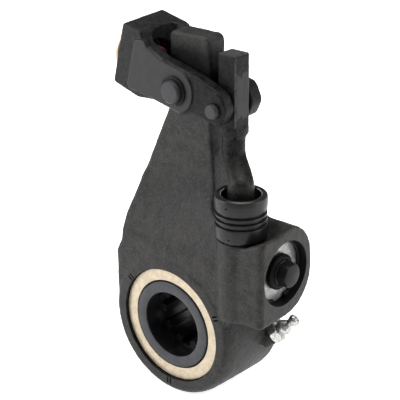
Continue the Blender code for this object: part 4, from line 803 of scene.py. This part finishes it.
# Outside: plain rows, and toothed ones with r = pitch + trapezoid of the angle, leaning by the worm's lead.
# Inside: the plain counterbore, then splines whose radius steps from minor to major across each space.
def makeWheel(s):
    angle = turnAngles(s["turns"])
    lead = 2 * math.pi * s["pitch"] / s["teeth"]
    lean = lead / (2 * math.pi * s["wormPitch"] * s["pitch"])

    def toothed(along):
        phase = ((angle - lean * along) / (2 * math.pi / s["teeth"]) + 0.5) % 1 - 0.5
        arc = np.abs(phase) * 2 * math.pi / s["teeth"] * s["pitch"]
        half = s["toothShare"] * lead / 2
        rise = (half - arc) / math.tan(math.radians(s["flank"]))
        return s["pitch"] + np.clip(rise, -s["dedendum"], s["addendum"])

    def splined(grow):
        phase = (angle / (2 * math.pi / s["splines"]) + 0.5) % 1 - 0.5
        across = np.abs(phase) * 2 * math.pi / s["splines"] * (s["splineMajor"] + s["splineMinor"]) / 2
        share = smoothStep(np.clip((s["splineSpace"] / 2 - across) / 0.5 + 0.5, 0, 1))
        return s["splineMinor"] + (s["splineMajor"] - s["splineMinor"]) * share + grow

    plain, end, edge = s["plainRadius"], s["neckEnd"], s["neckEdge"]
    rows = [*roundedPath([
        (plain + edge, -end, 0), (s["neck"], -end, edge), (s["neck"], -s["shoulderEnd"], 0.2),
        (s["shoulder"], -s["shoulderEnd"], 0.3), (s["shoulder"], -s["toothHalf"], 0.2),
    ], closed=False, pieces=3)]
    rows += [(toothed(along), along) for along in np.linspace(-s["toothHalf"], s["toothHalf"], 9)]
    rows += [*roundedPath([
        (s["shoulder"], s["toothHalf"], 0.2), (s["shoulder"], s["shoulderEnd"], 0.3),
        (s["neck"], s["shoulderEnd"], 0.2), (s["neck"], end, edge), (s["splineMajor"] + 2.2, end, 0),
    ], closed=False, pieces=3)]
    start = -end + s["plainDepth"]
    rows += [
        (np.maximum(splined(0), s["splineMinor"] + 1.4 * 3.2), end - 0.5),
        (np.maximum(splined(0), s["splineMinor"] + 0.9 * 3.2), end - 1.0),
        (splined(0), end - 2.0), (splined(0), start + 0.5), (splined(0.35), start),
        (plain, start - 0.05), (plain, -end + edge), (plain + 0.25 * edge, -end + 0.3 * edge),
    ]
    # turn t = 0 points up, and the turn runs towards +X
    return spinPiece("splinedWheel", rows, s["turns"], np.zeros(3), axisY, True, 30, start=(0, 0, 1))


# Inside the wheel's bore, which gets painted shade: nearer the axis than the counterbore, and not on the end
# faces.
def inBore(points, normals):
    away = np.hypot(points[:, 0], points[:, 2])
    return (away < wheelSizes["plainRadius"] + 0.3) & (np.abs(points[:, 1]) < wheelSizes["neckEnd"] - 0.4)


splinedWheel = makeWheel(wheelSizes)
markFaces(splinedWheel, "wheelSteel", [("boreSteel", inBore)])
dress(splinedWheel, None, "wheel", "gear_steel", "worm_wheel")
print("stage: wheel")


# Worm shaft, cover plate, clip and seal

shaftSizes = {
    "radius": 4.8, "neck": 7.3, "shoulder": 55.5, "start": -32.0, "flats": 12.7, "hexStart": 64.1, "hexEnd": 70.1,
}


# A stepped round shaft that ends in a chamfered hexagon.
def makeShaft(s):
    turns = 384
    apothem = s["flats"] / 2
    hexagon = hexagonRadius(turns, apothem, apothem / math.cos(math.pi / 6) - 0.35)
    rows = [
        (s["radius"] - 0.8, s["start"]), (s["radius"], s["start"] + 0.8), (s["radius"], s["shoulder"]),
        (s["radius"] + 0.01, s["shoulder"]), (s["neck"], s["shoulder"]), (s["neck"], s["hexStart"] - 0.4),
        (np.minimum(hexagon, s["neck"]), s["hexStart"]),
        (np.minimum(hexagon, s["neck"] - 0.1), s["hexStart"] + 0.1),
        (hexagon, s["hexStart"] + 0.6), (hexagon, s["hexEnd"] - 1.1),
    ]
    for rise, drop in ((0.45, 0.55), (0.05, 0.2), (-0.5, 0.0)):
        rows.append((np.minimum(hexagon, apothem + rise), s["hexEnd"] - drop))
    return spinPiece("wormShaft", rows, turns, worm, axisX, False, 25, start=(0, 0, 1))


dress(makeShaft(shaftSizes), "darkSteel", "worm", "black_steel", "worm_shaft")

coverSizes = {
    "plateRadius": 18.4, "plateFace": 59.5, "plateBack": 57.0, "register": 15.1, "registerBack": 55.8, "bore": 7.6,
}


# A bored disc with a register behind it.
def makePlate(s):
    bore, rim, register = s["bore"], s["plateRadius"], s["register"]
    profile = [
        (bore, s["plateFace"], 0.4), (rim, s["plateFace"], 0.6), (rim, s["plateBack"], 0.3),
        (register, s["plateBack"], 0.2), (register, s["registerBack"], 0.3), (bore, s["registerBack"], 0.3),
    ]
    return turnedPiece("endPlate", profile, worm, axisX, closed=True, turns=192)


dress(makePlate(coverSizes), "plateSteel", "body", "plain_steel", "end_plate")

# Snap ring in the lobe's groove.
clipSizes = {
    "inner": 17.0, "outer": 19.2, "low": 59.8, "high": 61.3, "opening": 10.0, "stations": 120, "edge": 0.12,
    "ears": 0.9,
}
snapRing = openRing("snapRing", worm, axisY, axisX, **clipSizes)
dress(snapRing, "darkSteel", "body", "plain_steel", "retaining_clip")

sealSizes = {"bore": 7.6, "radius": 10.2, "low": 59.8, "high": 63.6, "lip": 1.6}


# A collar with a tapered lip round the shaft.
def makeSeal(s):
    profile = [
        (s["bore"], s["low"], 0.3), (s["radius"], s["low"], 0.3), (s["radius"], s["high"] - 1.2, 0.8),
        (s["radius"] - s["lip"], s["high"], 0.5), (s["bore"], s["high"], 0.3),
    ]
    return turnedPiece("wormSeal", profile, worm, axisX, closed=True, turns=128)


dress(makeSeal(sealSizes), "sealRubber", "body", "rubber", "worm_seal")
print("stage: worm end")


# Boot

bootSizes = {
    "base": 65.3, "top": 91.0, "radius": 14.2, "lip": 14.5, "groove": 12.7, "pitch": 3.3,
    "grip": 10.05, "inner": 11.2, "guideTop": 70.0,
}


# A bellows: lip, three grooves and a skirt outside, a plain wall inside, turned round the rack's axis.
def makeBoot(s):
    middle = (s["base"] + s["top"]) / 2
    top = s["top"]
    profile = [
        (s["inner"] - 0.3, top - 0.6, 0.5), (s["radius"] - 1.5, top, 0.7), (s["lip"] - 0.3, top - 0.9, 0.9),
        (s["lip"], top - 3.4, 1.5), (s["lip"], top - 5.6, 1.0),
    ]
    for index in (1, 0, -1):
        centre = middle + index * s["pitch"]
        profile += [
            (s["radius"], centre + 0.95, 0.45), (s["groove"], centre + 0.35, 0.25),
            (s["groove"], centre - 0.35, 0.25), (s["radius"], centre - 0.95, 0.45),
        ]
    profile += [
        (s["radius"] + 0.1, s["base"] + 4.5, 1.0), (s["radius"], s["base"] + 1.6, 1.0),
        (s["radius"] - 1.3, s["base"], 0.8), (s["grip"], s["base"], 0.2),
        (s["grip"], s["guideTop"] + 0.8, 0.3), (s["inner"], s["guideTop"] + 1.8, 0.6),
    ]
    boot = turnedPiece("rubberBoot", profile, rack, axisZ, closed=True, turns=192, creaseDegrees=60, pieces=5)
    # two small moulding dimples on the front
    tools = []
    for turn, height in ((6, top - 4.5), (12, s["base"] + 3.4)):
        outward = np.array([math.sin(math.radians(turn)), -math.cos(math.radians(turn)), 0])
        low, high = s["radius"] - 0.5, s["radius"] + 1.5
        tools.append(cutter(rack + axisZ * height, outward, 0.35, low, high, 0.9, turns=24))
    return carve(boot, tools)


# Pale grease with painted glints on the two sides of the mouth, as the camera sees them along (0.757, 0.654).
def onMouthGlints(points, normals):
    offset = points[:, :2] - rack[:2]
    away = np.linalg.norm(offset, axis=1)
    side = np.abs(offset @ np.array([0.757, 0.654])) / away
    return (away < bootSizes["inner"] + 0.35) & (points[:, 2] > bootSizes["top"] - 3.4) & (side > 0.80)


rubberBoot = makeBoot(bootSizes)
markFaces(rubberBoot, "rubber", [("greaseWithGlints", onMouthGlints)], 60)
dress(rubberBoot, None, "body", "rubber", "boot")
print("stage: boot")


# Clevis

clevisSizes = {
    "gridStep": 0.55, "near": 14.0, "far": 15.6, "farSwell": 2.2, "farLift": 1.3, "pad": 1.0,
    "slotHalf": 6.9, "slotEnd": -29.4, "slotRound": 5.5, "edge": 1.3, "padEdge": 0.45,
    "largeHole": 6.65, "smallHole": 3.475, "spacing": 27.5, "collarHole": 10.7, "collarRise": 4.3,
    "roughForged": 0.07, "openEnd": 8,
}
clevisTilt = math.radians(12)
clevisTurn = np.array([
    [math.cos(clevisTilt), 0, math.sin(clevisTilt)],
    [0, 1, 0],
    [-math.sin(clevisTilt), 0, math.cos(clevisTilt)],
])


# Point or points from the clevis's own frame to the world.
def fromClevis(points):
    return np.asarray(points, float) @ clevisTurn.T + largePin


# The fork as one field in its own frame: two side outlines met with its walls, the raised pads, then the slot,
# the two pin holes and the collar's bore cut out.
def makeClevis(s):
    low, high = (-46.5, -17.5, -18), (40, 19, 26)
    step, x, y, z = gridOf(low, high, s["gridStep"])
    under = [
        (30.5, 10.2, 6), (35.5, 3, 6), (33.5, -8, 5), (12.6, -8, 4), (6.3, -12, 6), (-14, -12.0, 8),
        (-25.5, -15.4, 8), (-44.6, -13.8, 2),
    ]
    nearSide = roundedPath([
        (-43.2, 22.5, 2), (-29.3, 22.5, 1.5), (-26.3, 17.0, 6), (-13, 13.6, 8), (12.6, 13.2, 20), *under,
    ])
    farSide = roundedPath([
        (-43.4, 22.5, 2), (-20.5, 22.3, 4), (-13, 15.0, 8), (12.6, 13.2, 20),
        (31.4, 10.8, 6), (36.8, 3, 6), (34.4, -8.2, 5), *under[3:],
    ])
    # the top climbs towards the far side
    lift = s["farLift"] * np.clip((y + s["near"]) / 30, 0, 1) * np.clip((z - 12) / 8, 0, 1)
    outline = np.where(y < 0, polygonField(x, z - lift, nearSide), polygonField(x, z - lift, farSide))
    # the far wall is thicker towards the closed end
    farWall = s["far"] + s["farSwell"] * smoothStep(np.clip((-17.0 - x) / 9.0, 0, 1))
    body = meet(meet(outline, -s["near"] - y, s["edge"]), y - farWall, s["edge"])
    padFlat = polygonField(x, z, roundedPath([
        (-32.3, 17.2, 2), (-25.6, 18.9, 1.5), (-23.2, 15.9, 4), (-12.0, 12.6, 6), (12.6, 12.6, 12.1),
        (12.6, -10.6, 9.6), (-12.6, -10.6, 8), (-33.6, -12.4, 3),
    ]))
    nearPad = meet(padFlat, -s["near"] - s["pad"] - y, s["padEdge"])
    farPad = meet(padFlat, y - s["far"] - s["pad"], s["padEdge"])
    pads = np.maximum(nearPad, y + s["near"] - 3)
    pads = np.minimum(pads, np.maximum(farPad, s["far"] - 3 - y))
    body = merge(body + s["roughForged"] * roughness(x, y, z, 4.0, 1.8, 7), pads, 0.5)
    # the slot ends in a round and opens wider towards the top on its far side
    farHalf = s["slotHalf"] + 0.5 * np.clip(z - 14.0, 0, 9)
    slotField = meet(np.where(y < 0, -y - s["slotHalf"], y - farHalf), s["slotEnd"] - x, s["slotRound"])
    body = meet(body, -slotField, 0.6)
    for along, radius in ((0.0, s["largeHole"]), (s["spacing"], s["smallHole"])):
        body = meet(body, radius - np.sqrt((x - along) ** 2 + z**2), 0.3)
    bore = np.maximum(np.sqrt(y**2 + (z - s["collarRise"]) ** 2) - s["collarHole"], x + 20)
    body = meet(body, -bore, 0.4)
    verts, quads = fieldSurface(body, low, step)
    middles = verts[quads].mean(axis=1)
    piece = buildPiece("forgedClevis", fromClevis(verts), [quads], 45)
    for surface in ("forgedBlack", "padSteel", "linkBlack"):
        piece.data.materials.append(finishes[surface])
    # the pads' flats have their own finish; the fork's open end beside them gets the duller linkBlack as painted
    # shade
    onPad = (middles[:, 1] < -s["near"] - s["pad"] + 0.2) | (middles[:, 1] > s["far"] + s["pad"] - 0.2)
    chosen = np.where(~onPad & (middles[:, 0] > s["openEnd"]), 2, onPad)
    piece.data.polygons.foreach_set("material_index", chosen.astype(np.int32))
    return piece


forgedClevis = dress(makeClevis(clevisSizes), None, "clevis", "black_steel", "clevis")
print("stage: clevis", len(forgedClevis.data.polygons), "faces")


# Pins, clips, collar and plug

pinSizes = {
    "large": 6.35, "near": 19.0, "headStart": 16.5, "headEnd": 19.5, "headRadius": 8.55, "groove": 5.75,
    "grooveLow": 15.15, "grooveHigh": 16.45, "clipOuter": 8.25, "clipLow": 15.3, "clipHigh": 16.3,
    "small": 3.175, "smallHead": 4.05, "smallHeadLow": 14.3, "smallHeadHigh": 17.0,
    "smallTail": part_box("small_pin")[1][1] / mm,
}
smallPin = fromClevis([clevisSizes["spacing"], 0, 0])


# A headed pin with a clip groove, from its chamfered near end to its head.
def makeLargePin(s):
    pin, head, groove = s["large"], s["headRadius"], s["groove"]
    profile = [
        (0, s["near"], 0), (pin - 0.8, s["near"], 0.3), (pin, s["near"] - 0.8, 0.3), (pin, s["grooveHigh"], 0.1),
        (groove, s["grooveHigh"], 0.1), (groove, s["grooveLow"], 0.1), (pin, s["grooveLow"], 0.1),
        (pin, -s["headStart"], 0.1), (head, -s["headStart"], 0.3),
        (head, -s["headEnd"], 0.9), (0, -s["headEnd"], 0),
    ]
    return turnedPiece("largePin", profile, largePin, -axisY, turns=128)


dress(makeLargePin(pinSizes), "pinSteel", "clevis", "plain_steel", "clevis_pin")


pinClip = openRing(
    "pinClip", largePin, axisX, -axisY, pinSizes["groove"] + 0.15, pinSizes["clipOuter"],
    pinSizes["clipLow"], pinSizes["clipHigh"], opening=4.0, stations=90, edge=0.2,
)
dress(pinClip, "darkSteel", "clevis", "plain_steel", "clevis_pin_clip")


# A domed head on a thinner pin with a chamfered tail.
def makeSmallPin(s):
    head, pin, tail = s["smallHead"], s["small"], -s["smallTail"]
    profile = [
        (0, s["smallHeadHigh"], 0), (head - 0.7, s["smallHeadHigh"], 0.5), (head, s["smallHeadHigh"] - 0.7, 0.4),
        (head, s["smallHeadLow"], 0.2), (pin, s["smallHeadLow"], 0.1), (pin, tail + 0.8, 0.3),
        (pin - 0.8, tail, 0.3), (0, tail, 0),
    ]
    return turnedPiece("smallPin", profile, smallPin, -axisY, turns=96)


dress(makeSmallPin(pinSizes), "pinSteel", "clevis", "plain_steel", "small_pin")

collarSizes = {
    "bore": 7.9, "barrel": 10.4, "flange": 13.4, "headBase": 44.4, "headEnd": 46.6, "innerEnd": 34.0, "rise": 4.3,
    "plugRim": 10.1, "plugRadius": 6.8, "plugOut": 47.3, "plugIn": 25.0,
}
collarOut = clevisTurn @ np.array([-1.0, 0, 0])
collarCentre = fromClevis([0, 0, collarSizes["rise"]])


# A flanged sleeve in the fork's closed end.
def makeCollar(s):
    profile = [
        (s["bore"], s["headEnd"], 0.5), (s["flange"], s["headEnd"], 0.9), (s["flange"], s["headBase"], 0.5),
        (s["barrel"], s["headBase"], 0.2), (s["barrel"], s["innerEnd"], 0.5), (s["bore"], s["innerEnd"], 0.5),
    ]
    return turnedPiece("threadCollar", profile, collarCentre, collarOut, closed=True, turns=128)


# A stopper: a rim outside the collar and a round stem inside it.
def makePlug(s):
    profile = [
        (0, s["plugOut"], 0), (s["plugRim"], s["plugOut"], 0.6), (s["plugRim"], s["headEnd"] + 0.3, 0.3),
        (s["plugRadius"], s["headEnd"] + 0.3, 0.2), (s["plugRadius"], s["plugIn"], 1.2), (0, s["plugIn"], 0),
    ]
    return turnedPiece("collarPlug", profile, collarCentre, collarOut, turns=96)


dress(makeCollar(collarSizes), "goldZinc", "collar", "gold_zinc", "clevis_collar")
dress(makePlug(collarSizes), "redPlastic", "collar", "red_plastic", "collar_plug")
print("stage: pins and collar")


# Link

linkSizes = {
    "gridStep": 0.5, "left": 22.9, "right": 35.2, "half": 5.9, "bottom": 118.0, "top": 163.0, "edge": 1.2,
    "eye": 6.8, "eyeHole": 5.075, "neck": 6.4, "rod": 7.15, "bendTop": 109.0, "bendHeight": 14.0,
    "rodBottom": 79.6, "stem": 3.2, "ball": 4.7, "ballHeight": 69.6, "rough": 0.06,
    "flatTop": 152.3, "flatBottom": 128.5, "wornHighlightFrom": 124,
}


# Bar and eye as a box and a cylinder; neck and rod as a round bar whose centre moves from the bar to the
# rack's axis by the smooth step; then a thin stem and the ball.
def makeLink(s):
    low, high = (18.5, -19.5, 63.5), (51.5, 8.5, 165)
    step, x, y, z = gridOf(low, high, s["gridStep"])
    middle = (s["left"] + s["right"]) / 2
    wide = np.abs(x - middle) - (s["right"] - s["left"]) / 2
    bar = meet(meet(wide, np.abs(y) - s["half"], s["edge"]), meet(z - s["top"], s["bottom"] - z, 1.0), s["edge"])
    fromPin = np.sqrt((x - smallPin[0]) ** 2 + (z - smallPin[2]) ** 2)
    bar = merge(bar, meet(fromPin - s["eye"], np.abs(y) - s["half"], 0.8), 1.0)
    share = np.clip((s["bendTop"] - z) / s["bendHeight"], 0, 1)
    ease = smoothStep(share)
    shift = rack[:2] - np.array([middle, 0])
    length = np.linalg.norm(shift)
    forward = shift / length
    slope = 6 * share * (1 - share) * length / s["bendHeight"]
    stretch = np.sqrt(1 + 0.35 * slope**2)
    px = x - middle - shift[0] * ease
    py = y - shift[1] * ease
    along = (px * forward[0] + py * forward[1]) / stretch
    beside = py * forward[0] - px * forward[1]
    radius = s["neck"] + (s["rod"] - s["neck"]) * ease
    shank = (np.sqrt(along**2 + beside**2) - radius) / np.sqrt(1 + 0.5 * slope**2)
    shank = meet(meet(shank, s["rodBottom"] - z, 0.8), z - s["bottom"] - 4, 0.5)
    fromRack = np.sqrt((x - rack[0]) ** 2 + (y - rack[1]) ** 2)
    stem = meet(meet(fromRack - s["stem"], s["ballHeight"] - z, 0.1), z - s["rodBottom"] - 2, 0.1)
    ball = np.sqrt(fromRack**2 + (z - s["ballHeight"]) ** 2) - s["ball"]
    body = merge(bar, shank, 2.5) + s["rough"] * roughness(x, y, z, 3.5, 1.6, 11)
    body = merge(body, stem, 1.0)
    body = merge(body, ball, 0.5)
    body = meet(body, s["eyeHole"] - fromPin, 0.3)
    verts, quads = fieldSurface(body, low, step)
    return buildPiece("forgedLink", verts, [quads], 45)


# The ground flat on the bar's outer side, with uneven ends.
def onGroundFlat(points, normals):
    wave = 1.1 * np.sin(points[:, 1] * 0.9) + 0.6 * np.sin(points[:, 1] * 2.3 + 1)
    inside = (points[:, 2] < linkSizes["flatTop"] + wave) & (points[:, 2] > linkSizes["flatBottom"] - wave)
    return (normals[:, 0] > 0.9) & (points[:, 0] > linkSizes["right"] - 0.6) & inside


# The bar's front corner facing the camera, and its top: worn metal with a painted highlight.
def onWornHighlight(points, normals):
    corner = (normals[:, 0] > 0.3) & (normals[:, 1] < -0.3) & (points[:, 2] > linkSizes["wornHighlightFrom"])
    return corner | ((normals[:, 2] > 0.6) & (points[:, 2] > linkSizes["top"] - 1.2))


# The greased rod, below a wavy line in the bend.
def onRod(points, normals):
    wave = 0.8 * np.sin(points[:, 0] * 1.7) + 0.5 * np.sin(points[:, 1] * 3.1)
    return points[:, 2] < linkSizes["bendTop"] - 4.0 + wave


forgedLink = makeLink(linkSizes)
linkMarks = [("groundSteel", onGroundFlat), ("wornAndHighlitSteel", onWornHighlight), ("greasedSteel", onRod)]
markFaces(forgedLink, "linkBlack", linkMarks, 45)
dress(forgedLink, None, "link", "black_steel", "link")
print("stage: link", len(forgedLink.data.polygons), "faces")


# Grease fitting

nippleSizes = {
    "thread": 3.0, "threadEnd": -5.4, "hexCorner": 6.6, "hexLow": 0.3, "hexHigh": 5.4, "waist": 2.6, "head": 3.6,
    "shoulder": 5.2, "end": 17.83, "mouth": 1.9,
}


# Thread, chamfered hexagon, taper, waist and head outside, and the ball's seat inside, as one closed profile.
def makeNipple(s):
    turns = 192
    apothem = s["hexCorner"] * math.cos(math.pi / 6)
    end, low, high = s["end"], s["hexLow"], s["hexHigh"]
    hexagon = hexagonRadius(turns, apothem, s["hexCorner"] - 0.2)
    rows = [
        (1.2, s["threadEnd"]), (s["thread"] - 0.3, s["threadEnd"]), (s["thread"], s["threadEnd"] + 0.4),
        (s["thread"], low - 0.1), (np.minimum(hexagon, apothem), low),
        (np.minimum(hexagon, apothem + 0.3), low + 0.25), (hexagon, low + 0.6), (hexagon, high - 0.6),
        (np.minimum(hexagon, apothem + 0.3), high - 0.2), (np.minimum(hexagon, apothem - 0.2), high),
        (4.0, high + 0.1), (3.9, high + 0.5),
    ]
    rows += [*roundedPath([
        (3.9, high + 0.6, 0), (s["shoulder"], end - 9.0, 0.6), (3.8, end - 7.0, 0.6), (s["waist"], end - 5.4, 0.5),
        (s["waist"], end - 4.4, 0.3), (s["head"], end - 2.4, 0.5), (s["head"], end - 1.0, 0.5), (2.8, end, 0.3),
        (s["mouth"], end, 0.2), (s["mouth"], end - 3.6, 0.2), (1.2, end - 4.4, 0.1), (1.2, 6.0, 0),
    ], closed=False, pieces=3)]
    return spinPiece("greaseNipple", rows, turns, fittingPlace, fittingAxis, True, 30)


dress(makeNipple(nippleSizes), "brightZinc", "body", "bright_zinc", "grease_fitting")
print("stage: grease fitting")


# CAD pieces that stay, with new finishes

keptFinishes = {
    "bronze": ("arm_bushing", "worm_bushing", "thrust_bearing", "link_bushing"),
    "rubber": ("front_oring", "rear_oring"),
    "plateSteel": ("rack_plug", "small_pin_washer", "grease_ball"),
    "gearSteel": ("rod_guide", "worm_sleeve", "clutch_spring", "pinion", "clutch_hub", "rack", "link_retainer"),
    "brightZinc": ("small_pin_cotter",),
}
for surface, nodes in keptFinishes.items():
    for node in nodes:
        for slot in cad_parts[node].material_slots:
            slot.link = "OBJECT"
            slot.material = finishes[surface]
print("stage: kept pieces")


# Floor, lights and camera

studio = {
    "floorSize": 8.0, "floorHeight": -0.0440, "floorGrey": 0.93, "floorGlow": 0.74, "worldStrength": 0.22,
}
floorMesh = bpy.data.meshes.new("floor")
reach = studio["floorSize"] / 2
floorMesh.from_pydata(
    [(-reach, -reach, 0), (reach, -reach, 0), (reach, reach, 0), (-reach, reach, 0)], [], [(0, 1, 2, 3)],
)
floor = bpy.data.objects.new("floor", floorMesh)
floor.location.z = studio["floorHeight"]
bpy.context.scene.collection.objects.link(floor)
floorFinish = Finish("floorPaint")
floorTone = floorFinish.span(floorFinish.noise(60.0, 2.0), 0.3, 0.7, 0, 1)
floorColours = tint(studio["floorGrey"]), tint(studio["floorGrey"] * 0.99)
floorFinish.fill(floorFinish.shader, {
    "Base Color": floorFinish.mixColour(floorTone, *floorColours), "Roughness": 0.9, "Specular IOR Level": 0.1,
    "Emission Color": (1, 1, 1, 1), "Emission Strength": studio["floorGlow"],
})
floor.data.materials.append(floorFinish.material)

world = bpy.data.worlds.new("studio")
world.use_nodes = True
backdrop = world.node_tree.nodes["Background"]
backdrop.inputs["Color"].default_value = (1, 1, 1, 1)
backdrop.inputs["Strength"].default_value = studio["worldStrength"]
bpy.context.scene.world = world
bpy.context.scene.view_settings.view_transform = "Standard"

# Each light: azimuth round the object (0 is in front, 90 towards +X), elevation, distance, size, power in watts.
lights = {
    "keyLeft": {"azimuth": -48, "elevation": 22, "distance": 1.1, "size": (0.42, 0.8), "power": 13.0},
    "rimRight": {"azimuth": 118, "elevation": 20, "distance": 1.0, "size": (0.5, 0.8), "power": 7.0},
    "topSoft": {"azimuth": 40, "elevation": 88, "distance": 1.2, "size": (0.8, 0.8), "power": 18.0},
}
aim = Vector((0.012, 0, 0.063))
for name, spec in lights.items():
    lamp = bpy.data.lights.new(name, "AREA")
    lamp.shape = "RECTANGLE"
    lamp.size, lamp.size_y = spec["size"]
    lamp.energy = spec["power"]
    holder = bpy.data.objects.new(name, lamp)
    turn, rise = math.radians(spec["azimuth"]), math.radians(spec["elevation"])
    outward = Vector((math.sin(turn) * math.cos(rise), -math.cos(turn) * math.cos(rise), math.sin(rise)))
    holder.location = aim + outward * spec["distance"]
    holder.rotation_euler = (-outward).to_track_quat("-Z", "Y").to_euler()
    bpy.context.scene.collection.objects.link(holder)

cameraSizes = {
    "place": (0.4078, -0.4627, 0.3405), "right": (0.757, 0.654, -0.010), "forward": (-0.602, 0.691, -0.400),
    "focalPixels": 1193.4, "imagePixels": 400, "sensor": 36.0,
}
forward = Vector(cameraSizes["forward"]).normalized()
right = Vector(cameraSizes["right"])
right = (right - forward * right.dot(forward)).normalized()
upward = right.cross(forward)
cameraData = bpy.data.cameras.new("camera")
cameraData.sensor_width = cameraSizes["sensor"]
cameraData.lens = cameraSizes["focalPixels"] / cameraSizes["imagePixels"] * cameraSizes["sensor"]
cameraData.clip_start = 0.01
camera = bpy.data.objects.new("camera", cameraData)
rotation = Matrix((right, upward, -forward)).transposed().to_4x4()
camera.matrix_world = Matrix.Translation(cameraSizes["place"]) @ rotation
bpy.context.scene.collection.objects.link(camera)
bpy.context.scene.camera = camera
print("stage: studio")
